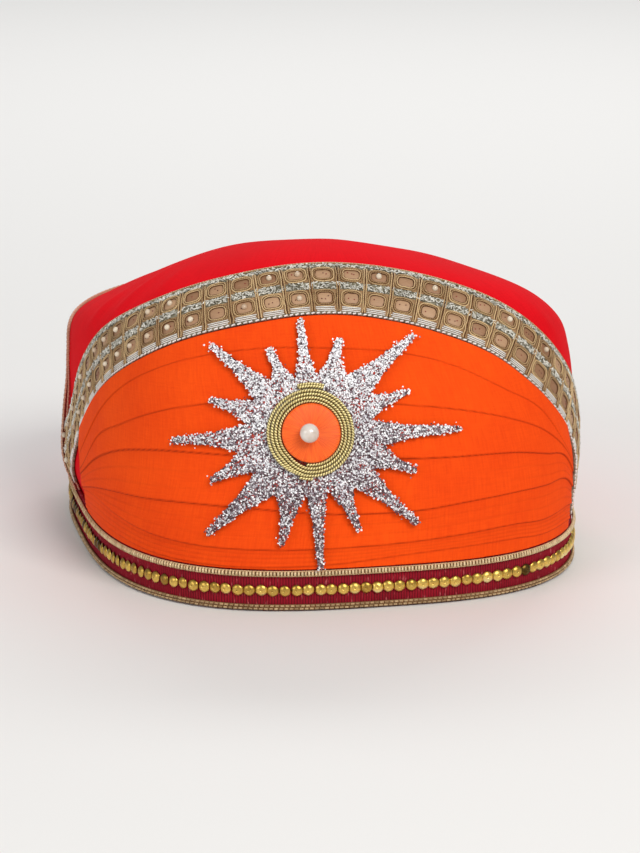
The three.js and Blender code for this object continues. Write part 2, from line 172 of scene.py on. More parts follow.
def run_along(points, axis=0):
    """The distance from the first point to each one, measured along an axis."""
    steps = np.diff(points, axis=axis, prepend=np.take(points, [0], axis=axis))
    return np.linalg.norm(steps, axis=-1).cumsum(axis=axis)


def eased(share):
    """From 0 to 1 with a level start and a level end."""
    return share * share * (3 - 2 * share)


def unit(vectors):
    """The same directions with length 1."""
    return vectors / np.linalg.norm(vectors, axis=-1, keepdims=True)


def crown_frame(azimuth, climb):
    """The tangents with azimuth and with climb, by central differences, and the way the cloth faces."""
    step = 1e-3
    azimuth, climb = np.broadcast_arrays(azimuth, climb)
    low = np.minimum(climb, 1 - step)
    along = (crown_point(azimuth + step, low) - crown_point(azimuth - step, low)) / (2 * step)
    up = (crown_point(azimuth, low + step) - crown_point(azimuth, low - step)) / (2 * step)
    across = crown_point(np.pi / 2 + 0 * low, low) - crown_point(-np.pi / 2 + 0 * low, low)
    back = crown_point(np.pi + 0 * low, low) - crown_point(0 * low, low)
    facing = np.where((climb > 0.99)[..., None], np.cross(across, back), np.cross(along, up))
    return along, up, unit(facing)


def on_crown(azimuth, climb, lift):
    """A point lifted off the crown's cloth."""
    azimuth, climb, lift = np.broadcast_arrays(azimuth, climb, lift)
    return crown_point(azimuth, climb) + crown_frame(azimuth, climb)[2] * lift[..., None]


def on_rim(azimuth, height, lift):
    """A point by its height on the straight wall under the ribbon's upper edge."""
    return on_crown(azimuth, (np.asarray(height, float) - ribbon_top) / crown_height, lift)


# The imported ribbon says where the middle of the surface's own measures lies in the frame.
ribbon_columns = np.linspace(-np.pi, np.pi, 61)[:-1]
own_ribbon = on_rim(ribbon_columns, 1, 1.6)
ribbon_low, ribbon_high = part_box("rim_ribbon")
frame_shift = np.array([*((ribbon_low + ribbon_high) / 2 * 1000)[:2], 0.0])
frame_shift[:2] -= ((own_ribbon.min(0) + own_ribbon.max(0)) / 2)[:2]


def grid(points, maps=(0, 0), tone=0.0):
    """Sheets of quads over grids of points (..., rows, columns, 3), with their map in millimetres and
    one tone a point for the finish."""
    shape = points.shape[:-1]
    index = np.arange(points.size // 3).reshape(shape)
    corners = index[..., :-1, :-1], index[..., 1:, :-1], index[..., 1:, 1:], index[..., :-1, 1:]
    quads = np.stack(corners, axis=-1).reshape(-1, 4)
    maps = np.broadcast_to(maps, (*shape, 2)).reshape(-1, 2)
    tone = np.broadcast_to(tone, shape).reshape(-1)
    return points.reshape(-1, 3), quads, maps, tone


def tube(face, back):
    """A face and its back, which runs the other way, as one closed ring in each row."""
    return np.concatenate([face, back, face[:, :1]], axis=1)


def closed_strip(face, back):
    """A face and its back as one closed strip, whose two ends are drawn in to the back."""
    ring, shut = tube(face, back), tube(back[:, ::-1], back)
    return np.concatenate([shut[:1], ring, shut[-1:]])


def make_piece(name, surfaces, finish, nodes=(), planes=(), faceted=False):
    """A mesh from surfaces in millimetres, put into the frame in metres: its doubles are merged, it is
    cut off at planes (normal, offset; what the normal points to is kept) and the cuts are closed."""
    starts = np.cumsum([0] + [len(surface[0]) for surface in surfaces])
    points = np.concatenate([surface[0] for surface in surfaces])
    faces = np.concatenate([surface[1] + start for surface, start in zip(surfaces, starts)])
    maps = np.concatenate([surface[2] for surface in surfaces])
    tone = np.concatenate([surface[3] for surface in surfaces])
    mesh = bpy.data.meshes.new(name)
    sides = faces.shape[1]
    mesh.vertices.add(len(points))
    mesh.vertices.foreach_set("co", points.astype(np.float32).ravel())
    mesh.loops.add(faces.size)
    mesh.loops.foreach_set("vertex_index", faces.astype(np.int32).ravel())
    mesh.polygons.add(len(faces))
    mesh.polygons.foreach_set("loop_start", np.arange(0, faces.size, sides, dtype=np.int32))
    mesh.update(calc_edges=True)
    layer = mesh.uv_layers.new(name="map")
    layer.data.foreach_set("uv", maps[faces.ravel()].astype(np.float32).ravel())
    mesh.attributes.new("tone", "FLOAT", "POINT").data.foreach_set("value", tone.astype(np.float32))
    work = bmesh.new()
    work.from_mesh(mesh)
    bmesh.ops.remove_doubles(work, verts=work.verts, dist=0.004)
    for normal, offset in planes:
        cut = bmesh.ops.bisect_plane(
            work,
            geom=[*work.verts, *work.edges, *work.faces],
            dist=1e-4,
            plane_co=Vector(normal) * offset,
            plane_no=Vector(normal),
            clear_inner=True,
        )
        edges = [e for e in cut["geom_cut"] if isinstance(e, bmesh.types.BMEdge) and e.is_boundary]
        bmesh.ops.holes_fill(work, edges=edges, sides=0)
    work.to_mesh(mesh)
    work.free()
    mesh.transform(Matrix.Translation(Vector(frame_shift) / 1000) @ Matrix.Scale(0.001, 4))
    mesh.polygons.foreach_set("use_smooth", np.full(len(mesh.polygons), not faceted))
    mesh.update()
    mesh.materials.append(finish.material)
    piece = bpy.data.objects.new(name, mesh)
    bpy.context.scene.collection.objects.link(piece)
    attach(piece, "root")
    if nodes:
        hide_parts(*nodes)
    return piece


class Amount:
    """A number that varies over a surface. Sums, differences and products add their Math nodes."""

    def __init__(self, finish, socket):
        self.finish, self.socket = finish, socket

    def math(self, operation, *others):
        sockets = [other.socket if isinstance(other, Amount) else other for other in others]
        values = dict(enumerate([self.socket, *sockets]))
        return Amount(self.finish, self.finish.node("ShaderNodeMath", {"operation": operation}, values))

    def __add__(self, other):
        return self.math("ADD", other)

    __radd__ = __add__

    def __sub__(self, other):
        return self.math("SUBTRACT", other)

    def __mul__(self, other):
        return self.math("MULTIPLY", other)

    def sine(self):
        return self.math("SINE")

    def above(self, edge):
        return self.math("GREATER_THAN", edge)

    def below(self, edge):
        return self.math("LESS_THAN", edge)

    def ramp(self, low, high):
        """0 up to low, 1 from high on, and smooth between them."""
        settings = {"interpolation_type": "SMOOTHSTEP"}
        values = {"Value": self.socket, "From Min": low, "From Max": high}
        return Amount(self.finish, self.finish.node("ShaderNodeMapRange", settings, values))


class Finish:
    """One material: a surface shader whose even values are set here, and nodes for what varies."""

    def __init__(self, name, **values):
        self.material = bpy.data.materials.new(name)
        self.material.use_nodes = True
        self.tree = self.material.node_tree
        self.shader = self.tree.nodes["Principled BSDF"]
        for socket, value in values.items():
            self.shader.inputs[socket.replace("_", " ")].default_value = value

    def node(self, kind, settings, inputs, output=0):
        """Adds a node, with its settings first and then the values or links of its sockets."""
        made = self.tree.nodes.new(kind)
        for key, value in settings.items():
            if key == "stops":
                while len(made.color_ramp.elements) < len(value):
                    made.color_ramp.elements.new(0.5)
                for element, (place, colour) in zip(made.color_ramp.elements, value):
                    element.position, element.color = place, (*colour, 1)
            else:
                setattr(made, key, value)
        for key, value in inputs.items():
            value = value.socket if isinstance(value, Amount) else value
            if isinstance(value, bpy.types.NodeSocket):
                self.tree.links.new(value, made.inputs[key])
            else:
                made.inputs[key].default_value = value
        return made.outputs[output]

    def place(self):
        """The point in the object, in metres."""
        return self.node("ShaderNodeTexCoord", {}, {}, "Object")

    def map(self):
        """The piece's own map, in millimetres."""
        return self.node("ShaderNodeUVMap", {"uv_map": "map"}, {})

    def tone(self):
        """The piece's own tone."""
        return Amount(self, self.node("ShaderNodeAttribute", {"attribute_name": "tone"}, {}, "Fac"))

    def split(self, vector):
        """The parts of a vector."""
        source = self.node("ShaderNodeSeparateXYZ", {}, {"Vector": vector})
        return [Amount(self, out) for out in source.node.outputs]

    def scaled(self, vector, factors):
        """A vector with each part multiplied."""
        return self.node("ShaderNodeVectorMath", {"operation": "MULTIPLY"}, {0: vector, 1: factors})

    def noise(self, vector, scale, detail=2.0, roughness=0.5):
        values = {"Vector": vector, "Scale": scale, "Detail": detail, "Roughness": roughness}
        return Amount(self, self.node("ShaderNodeTexNoise", {}, values, "Fac"))

    def mix(self, share, first, second):
        """A colour between two, by share."""
        first, second = (c if isinstance(c, bpy.types.NodeSocket) else (*c, 1) for c in (first, second))
        values = {"Factor": share, 6: first, 7: second}
        return self.node("ShaderNodeMix", {"data_type": "RGBA"}, values, 2)

    def colours(self, share, *stops):
        """A colour from a ramp of (place, colour) stops."""
        return self.node("ShaderNodeValToRGB", {"stops": stops}, {"Fac": share})

    def relief(self, height, distance, strength):
        """Raises the surface in the light only, by height times distance in metres."""
        values = {"Height": height, "Distance": distance, "Strength": strength}
        self.use(Normal=self.node("ShaderNodeBump", {}, values))

    def use(self, **sockets):
        """Links amounts or colours to the shader."""
        for name, value in sockets.items():
            value = value.socket if isinstance(value, Amount) else value
            self.tree.links.new(value, self.shader.inputs[name.replace("_", " ")])


def plain_cotton(name, light, dark, thread, gloss=0.12):
    """Fine cotton: threads both ways, slubs, soft mottling in its colour, matt. Its tone mixes in painted
    crease shade.
    """
    finish = Finish(name, Specular_IOR_Level=gloss)
    u, v, _ = finish.split(finish.map())
    turns = 2 * math.pi / thread
    weave = (u * turns).sine() * (v * turns).sine()
    slubs = finish.noise(finish.scaled(finish.map(), (1.4, 0.12, 1)), 1.0, 3, 0.6)
    picks = finish.noise(finish.scaled(finish.map(), (0.15, 1.6, 1)), 1.0, 2, 0.6)
    clouds = finish.noise(finish.place(), 28, 3, 0.55)
    share = slubs * 0.35 + picks * 0.2 + clouds * 0.45
    cloth = finish.colours(share, (0.33, dark), (0.68, light))
    # Painted shade: where the tone is high the cloth is mixed towards a much darker colour, along creases.
    painted_crease_shade = tuple(part * 0.42 for part in dark)
    finish.use(Base_Color=finish.mix(finish.tone(), cloth, painted_crease_shade), Roughness=0.78 + clouds * 0.15)
    finish.relief(weave * 0.1 + slubs * 0.9 + picks * 0.6, 0.00012, 0.6)
    return finish


crown_columns, crown_rows, lining_rows = 240, 110, 36
azimuths = np.linspace(-np.pi, np.pi, crown_columns + 1)[:, None]
climbs = np.concatenate([np.linspace(hem_climb, 0, 8)[:-1], np.linspace(0, 1, crown_rows)])
lining_climbs = np.concatenate([np.linspace(1, 0, lining_rows), [hem_climb / 2, hem_climb]])
wave_height, fold_width = 0.12, 3.2

# Azimuth and climb of each fold's middle, its slant, its reach in climb and its height.
crown_folds = [
    (-74, 0.56, 0.15, 0.07, 1.0), (-60, 0.6, 0.2, 0.08, 0.9), (-46, 0.64, 0.1, 0.06, 0.5),
    (58, 0.5, -0.2, 0.07, 0.5), (40, 0.62, 0.1, 0.07, 0.4),
    (128, 0.45, 0.2, 0.1, 0.8), (168, 0.5, -0.1, 0.1, 0.7), (-140, 0.48, 0.15, 0.1, 0.8),
]


def slack(azimuth, climb):
    """Where the red cotton stands off its base: soft waves everywhere above the ribbon, and short folds
    over both shoulders and behind. Each fold is a bell across its line, faded towards both ends."""
    degrees = np.degrees(azimuth)
    lift = wave_height * np.sin(degrees / 9 + 5 * climb) * np.sin(11 * climb + degrees / 31)
    for at, level, tilt, reach, rise in crown_folds:
        off = degrees - at - tilt * (climb - level) * 100
        lift = lift + rise * np.exp(-((off / fold_width) ** 2) - ((climb - level) / reach) ** 2)
    return np.maximum(lift * np.clip(climb * 8, 0, 1) * np.clip((1 - climb) * 4, 0, 1), 0)


outer = on_crown(azimuths, climbs, slack(azimuths, climbs))
inner = on_crown(azimuths, lining_climbs, -crown_wall)
ring = tube(outer, inner)
maps = joined(azimuths * (rim_width + rim_length) / 4, run_along(ring, 1))
red_cotton = plain_cotton("red cotton", (0.84, 0.004, 0.011), (0.66, 0.002, 0.007), 0.6, 0.06)
crown = make_piece("red_crown", [grid(ring, maps)], red_cotton, ["crown"])

# Swathe. Orange cotton laid over the forehead in flat pleats that fan out in the middle and draw
# together towards both sides, where the ends tuck in under the wide braid.
clearance = 0.4
swathe_thickness, pleat_rise, pleat_hollow = 2.2, 0.9, 0.6
swathe_to_braid, edge_roll = 0.9, 1.2

# The wide braid's lower edge: its azimuths in degrees, and how far up it is at each.
braid_path = np.array([
    [-90, 0], [-80, 0.105], [-70, 0.217], [-58, 0.309], [-44, 0.387], [-28, 0.457], [-12, 0.492], [0, 0.5],
    [14, 0.487], [26, 0.457], [37, 0.397], [45, 0.314], [50, 0.257], [54.5, 0.205], [58, 0.157],
    [61.5, 0.11], [64, 0.06], [66, 0],
])
above_ribbon = ((0, 0, 1), ribbon_top + clearance)

# Where the swathe ends on the left and on the right, by share of the way up to the braid.
swathe_ends = np.array([[-69, 58.3], [-66, 57.7], [-63, 56.8], [-64.4, 56.1], [-67.6, 54.9], [-70, 54.2]])

# Creases: share of the way up to the braid at each azimuth, and how deep each one is.
crease_azimuths = [-70, -62, -54, -44, -34, -24, -14, 2, 18, 28, 38, 46, 52, 58]
creases = np.array([
    [0.16, 0.15, 0.13, 0.1, 0.065, 0.05, 0.045, 0.05, 0.075, 0.09, 0.105, 0.115, 0.15, 0.2],
    [0.4, 0.375, 0.33, 0.24, 0.17, 0.135, 0.12, 0.11, 0.12, 0.14, 0.17, 0.2, 0.27, 0.36],
    [0.43, 0.4, 0.385, 0.36, 0.327, 0.305, 0.28, 0.235, 0.23, 0.26, 0.31, 0.39, 0.49, 0.5],
    [0.5, 0.515, 0.54, 0.535, 0.505, 0.473, 0.445, 0.415, 0.408, 0.43, 0.485, 0.57, 0.66, 0.6],
    [0.56, 0.56, 0.655, 0.652, 0.655, 0.65, 0.64, 0.61, 0.6, 0.613, 0.645, 0.71, 0.72, 0.64],
    [0.6, 0.72, 0.82, 0.877, 0.885, 0.88, 0.865, 0.828, 0.83, 0.826, 0.8, 0.84, 0.75, 0.68],
])
crease_depths = np.array([0.3, 0.42, 0.5, 0.55, 0.42, 0.36])
crease_width = 0.3

# Fine creases: the two creases that each lies between, and its share of the way.
fine_creases = [
    (0, 1, 0.5), (0, 1, 0.25), (0, 1, 0.75), (1, 2, 0.35), (1, 2, 0.68), (2, 3, 0.3), (2, 3, 0.62),
]


def braid_climb(azimuth):
    """How far up the wide braid's lower edge runs at an azimuth."""
    return smooth(np.degrees(azimuth), braid_path[:, 0], braid_path[:, 1:])[..., 0]


def pleats(azimuth, share, run):
    """Lift of the pleated cloth and its painted crease shade: a dark line along each crease and a soft
    shade fading in below it. From each crease upwards the cloth starts high and sinks slowly towards
    the next crease; at a crease it drops within its width."""
    rows = smooth(np.degrees(azimuth), crease_azimuths, creases.T)
    lines = np.moveaxis(rows, -1, 0)
    lift = np.full(share.shape, 0.15)
    dark = np.zeros(share.shape)
    for line, depth in zip(lines, crease_depths):
        off = (share - line) * run
        rise = np.clip(off / crease_width + 0.5, 0, 1)
        settle = np.exp(-np.maximum(off, 0) / 6)
        lift += depth * eased(rise) * settle * 1.3
        # Painted shade: a dark line at each crease, and a soft shade that fades in below it.
        dark += depth * 1.35 * np.exp(-(((off + 0.08) / 0.22) ** 2))
        dark += depth * 0.22 * np.exp(np.minimum(off, 0) / 1.4) * (off < 0)
    for low, high, part in fine_creases:
        off = (share - lines[low] * (1 - part) - lines[high] * part) * run
        fade = np.exp(-(((lines[high] - lines[low]) * run - 7) / 6) ** 2)
        lift -= 0.1 * fade * np.exp(-((off / 0.45) ** 2))
        # Painted shade along each fine crease.
        dark += 0.2 * fade * np.exp(-((off / 0.3) ** 2))
    return np.minimum(lift, pleat_rise), np.clip(dark, 0, 1)


swathe_columns, swathe_rows = 320, 200
share = np.linspace(0, 1, swathe_rows)
ends = np.radians(smooth(share, np.linspace(0, 1, len(swathe_ends)), swathe_ends))
azimuths = ends[:, 0] + np.linspace(0, 1, swathe_columns)[:, None] * (ends[:, 1] - ends[:, 0])
stretch = np.linalg.norm(crown_frame(azimuths, 0.1)[1], axis=-1)
bottom = hem_climb / 8
top = braid_climb(azimuths) - swathe_to_braid / stretch
climbs = bottom + (top - bottom) * share
run = (top - bottom) * stretch
# The pleats give the cloth's lift and its painted crease shade, which becomes the swathe's tone.
lift, dark = pleats(azimuths, np.broadcast_to(share, azimuths.shape), run)
edge_share = np.minimum((1 - share) * run, edge_roll) / edge_roll
lift = lift * np.sqrt(edge_share * (2 - edge_share))
front = on_crown(azimuths, climbs, clearance + swathe_thickness - pleat_hollow + lift)
rear = on_crown(azimuths, climbs, clearance)[:, ::-1]
ring = closed_strip(front, rear)
dark = np.pad(tube(dark, dark[:, ::-1]), ((1, 1), (0, 0)), "edge")
measured_row = 60
maps = joined(run_along(ring[:, [measured_row]]), run_along(ring, 1))
orange_cotton = plain_cotton("orange cotton", (0.96, 0.09, 0.004), (0.78, 0.05, 0.002), 0.55)
swathe = make_piece(
    "pleated_swathe",
    [grid(ring, maps, dark)],
    orange_cotton,
    ["front_wrap"],
    [above_ribbon],
)

# Wide braid. A woven tan tape along the swathe's upper edge, couched with tan-gold cord in two rows of
# cells with a satin pad in each, cut silver purl sewn densely above and between the rows, and silver
# lines and a silver twist along its lower edge.
wide_braid_width = 21
edging_foot, edging_shoulder = math.radians(-85), 62
edging_side_lean, edging_top_lean = math.radians(16), math.radians(65)


def leaning_plane(point, lean):
    """The plane across the turban through a point, leaning back: its normal, and its place along that."""
    normal = np.array([0, math.cos(lean), -math.sin(lean)])
    return normal, float(point @ normal)


foot_point = crown_point(edging_foot, hem_climb / 2)
side_normal, side_offset = leaning_plane(foot_point, edging_side_lean)
shoulder_back = foot_point[1] + (edging_shoulder - foot_point[2]) * math.tan(edging_side_lean)
top_plane = leaning_plane(np.array([0, shoulder_back, edging_shoulder]), edging_top_lean)
before_edging = (tuple(-side_normal), 2 * clearance - side_offset)
cell_pitch = 9.3
random = np.random.default_rng(11)


def walk(azimuth, climb, heading, distance, steps):
    """Straight on over the crown: at each small step the heading is laid on the cloth, and the step is
    shared between azimuth and climb by solving for the two tangents. Gives the place and heading."""
    for _ in range(steps):
        along, up, facing = crown_frame(azimuth, climb)
        heading = unit(heading - (heading * facing).sum(-1, keepdims=True) * facing)
        aa, ab, bb = ((along * along).sum(-1), (along * up).sum(-1), (up * up).sum(-1))
        da, db = (heading * along).sum(-1), (heading * up).sum(-1)
        scale = distance / steps / (aa * bb - ab * ab)
        azimuth = azimuth + (da * bb - db * ab) * scale
        climb = climb + (db * aa - da * ab) * scale
    return azimuth, climb, heading


class Laid:
    """A strip or sheet lying on the crown, as a grid of azimuths and climbs over its own two measures
    in millimetres. place() finds points on it, lifted off the cloth."""

    def __init__(self, azimuths, climbs, along, across):
        self.points = crown_point(azimuths, climbs)
        self.facings = crown_frame(azimuths, climbs)[2]
        self.along, self.across = along, across

    def look(self, values, along, across):
        """Values between the four nearest grid points, weighted by nearness."""
        i = np.interp(along, self.along, np.arange(len(self.along)))
        j = np.interp(across, self.across, np.arange(len(self.across)))
        low_i = np.clip(i.astype(int), 0, len(self.along) - 2)
        low_j = np.clip(j.astype(int), 0, len(self.across) - 2)
        p, q = (i - low_i)[..., None], (j - low_j)[..., None]
        near = values[low_i, low_j] * (1 - q) + values[low_i, low_j + 1] * q
        far = values[low_i + 1, low_j] * (1 - q) + values[low_i + 1, low_j + 1] * q
        return near * (1 - p) + far * p

    def facing(self, along, across):
        return unit(self.look(self.facings, along, across))

    def place(self, along, across, lift):
        along, across, lift = np.broadcast_arrays(along, across, lift)
        return self.look(self.points, along, across) + self.facing(along, across) * lift[..., None]

    def at(self, places):
        """The points at places that are each [along, across, lift]."""
        return self.place(places[..., 0], places[..., 1], places[..., 2])


def cords(laid, lines, radius, sides, closed, tone):
    """Round cords along lines (cords, points, [along, across, lift]): a ring about each point, across
    its run. Ends are drawn to a point, closed lines meet themselves."""
    points = laid.at(lines)
    facing = laid.facing(lines[..., 0], lines[..., 1])
    if closed:
        around = np.concatenate([points[:, -2:-1], points, points[:, 1:2]], axis=1)
        tangent = unit(around[:, 2:] - around[:, :-2])
    else:
        tangent = unit(np.gradient(points, axis=1))
    side = unit(np.cross(tangent, facing))
    out = np.cross(side, tangent)
    radius = np.broadcast_to(radius, points.shape[:2])[..., None, None]
    turn = np.linspace(0, 2 * np.pi, sides + 1)[:, None]
    section = np.cos(turn) * side[..., None, :] + np.sin(turn) * out[..., None, :]
    rings = points[..., None, :] + radius * section
    maps = joined(run_along(points, 1)[..., None], np.cos(turn[:, 0]) * radius[..., 0, :])
    if not closed:
        start, end = 0 * rings[:, :1] + points[:, :1, None], 0 * rings[:, :1] + points[:, -1:, None]
        rings = np.concatenate([start, rings, end], axis=1)
        maps = np.concatenate([maps[:, :1], maps, maps[:, -1:]], axis=1)
    return grid(rings, maps, np.reshape(tone, (-1, 1, 1)))


def slab(laid, along, across, low, high):
    """A flat strip with square edges: its upper face over along and across, then its lower face."""
    along, across = along[:, None], across[None, :]
    upper, lower = laid.place(along, across, high), laid.place(along, across, low)[:, ::-1]
    length = np.concatenate([along[:1], along, along[-1:]])
    return grid(closed_strip(upper, lower), joined(length, tube(across, across[:, ::-1])))


def braid_strip():
    """The wide braid's own measures: along its middle line, and across from its lower edge. The
    lower edge follows its path and runs straight on at both feet; each place across is walked to."""
    azimuth = np.radians(np.linspace(braid_path[0, 0], braid_path[-1, 0], 260))
    climb = braid_climb(azimuth)
    ahead, behind = (np.clip(azimuth + off, azimuth[0], azimuth[-1]) for off in (0.02, -0.02))
    heading = unit(crown_point(ahead, braid_climb(ahead)) - crown_point(behind, braid_climb(behind)))
    for end, way in ((0, -1), (-1, 1)):
        for step in range(1, 15):
            place = walk(azimuth[[end]], climb[[end]], heading[[end]] * way, 2.0, 1)
            where = 0 if end == 0 else len(azimuth)
            azimuth, climb = np.insert(azimuth, where, place[0]), np.insert(climb, where, place[1])
            heading = np.insert(heading, where, place[2][0] * way, axis=0)
    upward = unit(np.cross(crown_frame(azimuth, climb)[2], heading))
    rows = [(azimuth, climb)]
    across = np.linspace(0, wide_braid_width, 9)
    for _ in across[1:]:
        azimuth, climb, upward = walk(azimuth, climb, upward, across[1], 1)
        rows.append((azimuth, climb))
    azimuths, climbs = (np.stack(parts, axis=1) for parts in zip(*rows))
    middle = len(across) // 2
    along = run_along(crown_point(azimuths[:, middle], climbs[:, middle]))
    return Laid(azimuths, climbs, along, across)


def metal_thread(name, light, dark, twist, rough=0.35, metal=0.4):
    """Metal thread on a core: bright and dark by each piece's tone, with the ridges of its twist."""
    finish = Finish(name, Metallic=metal, Specular_IOR_Level=0.5)
    u, v, _ = finish.split(finish.map())
    ridge = ((u + v * 0.8) * (2 * math.pi / twist)).sine()
    grime = finish.noise(finish.place(), 420, 3, 0.6)
    share = finish.tone() * 0.7 + grime * 0.45 + ridge * 0.12 - 0.1
    finish.use(Base_Color=finish.colours(share, (0.12, dark), (0.85, light)), Roughness=rough + grime * 0.3)
    finish.relief(ridge * 0.5 + grime * 0.4, 0.00015, 0.8)
    return finish


def along_cells(middles, offsets, across, lift):
    """Lines that repeat at each cell: offsets along it from its middle, at places across and lifts."""
    return joined(middles[:, None] + offsets, across, lift)


wide = braid_strip()
length = wide.along[-1]
hidden = [above_ribbon, before_edging]
tape_finish = Finish("tan braid tape", Specular_IOR_Level=0.3, Roughness=0.7)
u, v, _ = tape_finish.split(tape_finish.map())
threads = (u * (2 * math.pi / 0.5)).sine() * (v * (2 * math.pi / 0.6)).sine()
fuzz = tape_finish.noise(tape_finish.place(), 500, 3, 0.6)
tan = tape_finish.colours(fuzz, (0.3, (0.24, 0.12, 0.045)), (0.7, (0.5, 0.31, 0.16)))
shade_under_purl = tape_finish.colours(fuzz, (0.35, (0.1, 0.085, 0.05)), (0.7, (0.42, 0.38, 0.27)))
# The tape is painted dark grey-green under the silver, as painted shade between the purl chips: above
# the cells, between their rows and along the lower edge.
above_cells, between_low, between_high, lower_edge = 18.0, 9.3, 12.2, 1.1
in_strips = v.above(above_cells) + v.above(between_low) * v.below(between_high) + v.below(lower_edge)
tape_finish.use(Base_Color=tape_finish.mix(in_strips, tan, shade_under_purl))
tape_finish.relief(threads * 0.4 + fuzz, 0.00012, 0.7)
tape = make_piece(
    "wide_braid_tape",
    [slab(wide, np.linspace(0, length, 300), np.linspace(0.1, wide_braid_width - 0.1, 12), clearance, 1.15)],
    tape_finish,
    ["zari_band"],
    hidden,
)

# Each cell is outlined by two tan cords with a dark thread between them and another inside. The dark
# threads are painted shade, standing for the shaded gaps between the cords.
cell_rows = [(15.2, 2.85), (6.0, 3.0)]
cell_half, cell_squareness = 3.6, 3.2
cells = np.arange(cell_pitch / 2, length, cell_pitch)
cells = cells + random.normal(0, 0.1, len(cells))
turn = np.linspace(0, 2 * np.pi, 25)
corner = 2 / cell_squareness
round_x = np.sign(np.cos(turn)) * np.abs(np.cos(turn)) ** corner
round_y = np.sign(np.sin(turn)) * np.abs(np.sin(turn)) ** corner
light_cords, gap_shade_cords, pads = [], [], []
for middle, half in cell_rows:
    for inward, lift, thick, drawn in (
        (0.0, 1.45, 0.3, light_cords), (0.36, 1.4, 0.17, gap_shade_cords), (0.66, 1.5, 0.24, light_cords),
        (0.94, 1.42, 0.13, gap_shade_cords),
    ):
        wobble = random.normal(0, 0.05, (len(cells), len(turn), 2))
        wobble[:, -1] = wobble[:, 0]
        across = middle + round_y * (half - inward) + wobble[..., 1]
        line = along_cells(cells, round_x * (cell_half - inward) + wobble[..., 0], across, lift)
        drawn.append(cords(wide, line, thick, 5, True, random.uniform(0.2, 0.95, len(cells))))
uprights = np.arange(0, length + 1, cell_pitch)
rise = np.linspace(0.9, 18.0, 12)
for off, thick, drawn in ((-0.42, 0.3, light_cords), (0.42, 0.3, light_cords), (0.0, 0.2, gap_shade_cords)):
    bend = random.normal(0, 0.08, (len(uprights), len(rise)))
    line = along_cells(uprights, off + bend, rise, 1.6 + 0.08 * np.sin(rise * 1.9))
    drawn.append(cords(wide, line, thick, 5, False, random.uniform(0.2, 0.95, len(uprights))))
# A twist of two of the same cords runs along the upper edge.
twist_level, twist_lift, twist_radius, twist_pitch = 20.45, 1.3, 0.16, 2.1
run = np.linspace(0, length, int(length / 0.35))
for ply in (0, np.pi):
    spin = run * (2 * math.pi / twist_pitch) + ply
    line = joined(run, twist_level + twist_radius * np.cos(spin), twist_lift + twist_radius * np.sin(spin))
    light_cords.append(cords(wide, line[None], 0.24, 5, False, 0.45))
tan_gold_cord = metal_thread("tan gold cord", (0.74, 0.52, 0.27), (0.24, 0.12, 0.04), 0.8)
make_piece("wide_braid_cords", light_cords, tan_gold_cord, [], hidden)
# Painted shade: these dark threads stand for the shaded gaps between the tan cords.
gap_shade_thread = Finish("painted gap shade thread", Roughness=0.75, Specular_IOR_Level=0.2)
dye = gap_shade_thread.tone() * 0.6 + gap_shade_thread.noise(gap_shade_thread.place(), 400, 2) * 0.4
gap_shade_thread.use(
    Base_Color=gap_shade_thread.colours(dye, (0.2, (0.05, 0.014, 0.006)), (0.8, (0.15, 0.055, 0.018)))
)
make_piece("wide_braid_gap_shade_threads", gap_shade_cords, gap_shade_thread, [], hidden)

# Satin pads nearly fill the cells, gently domed.
satin = Finish("peach satin", Specular_IOR_Level=0.45)
grain = satin.noise(satin.scaled(satin.map(), (0.4, 5, 1)), 1.0, 2)
satin_shade = satin.tone() * 0.5 + grain * 0.5
satin.use(
    Base_Color=satin.colours(satin_shade, (0.25, (0.27, 0.13, 0.06)), (0.75, (0.47, 0.28, 0.155))),
    Roughness=0.45 + grain * 0.2,
)
satin_half, satin_inset, satin_base, satin_edge, satin_dome = 2.72, 0.92, 1.1, 1.2, 0.35
radii = np.linspace(1, 0, 5)
for middle, half in cell_rows:
    dome = joined(
        cells[:, None, None] + round_x[:, None] * radii * satin_half,
        middle + round_y[:, None] * radii * (half - satin_inset),
        satin_edge + satin_dome * (1 - radii**2),
    )
    base = dome[..., ::-1, :] * [1, 1, 0] + [0, 0, satin_base]
    whole = np.concatenate([dome, base], axis=2)[:, ::-1]
    pads.append(grid(wide.at(whole), whole[..., :2], random.uniform(0, 1, len(cells))[:, None, None]))
make_piece("wide_braid_pads", pads, satin, [], hidden)


def beads(laid, along, across, lift, radius, tone, sides, rings):
    """Round beads: each a ball of rings about the cloth's facing."""
    turn, climb = np.linspace(0, 2 * np.pi, sides + 1), np.linspace(-np.pi / 2, np.pi / 2, rings)[:, None]
    ball = radius * joined(np.cos(climb) * np.cos(turn), np.cos(climb) * np.sin(turn), np.sin(climb))
    points = laid.at(ball + joined(along, across, lift)[:, None, None])[:, :, ::-1]
    return grid(points, ball[..., :2], np.reshape(tone, (-1, 1, 1)))


# Tiny dark-red stitches on the pads, and small pearly beads: in most cells to the left, few to the right.
stitches, pearly = [], []
for middle, half in cell_rows:
    for off in (-1.2, -0.1, 1.0):
        held = random.random(len(cells)) < 0.7
        where = cells[held] + off + random.normal(0, 0.2, held.sum())
        level = middle + random.normal(0, 0.3, held.sum())
        stitches.append(beads(wide, where, level, 1.5, 0.27, random.uniform(0, 1, held.sum()), 5, 4))
    held = random.random(len(cells)) < np.clip(1.2 - cells / length * 1.9, 0.1, 0.9)
    where = cells[held] + random.normal(0.1, 0.5, held.sum())
    pearly.append(beads(wide, where, middle + 0.1, 1.8, 1.0, random.uniform(0, 1, held.sum()), 10, 7))
red_stitch = Finish("dark red stitch", Roughness=0.6)
red_stitch.use(
    Base_Color=red_stitch.colours(red_stitch.tone(), (0, (0.07, 0.008, 0.006)), (1, (0.25, 0.02, 0.014)))
)
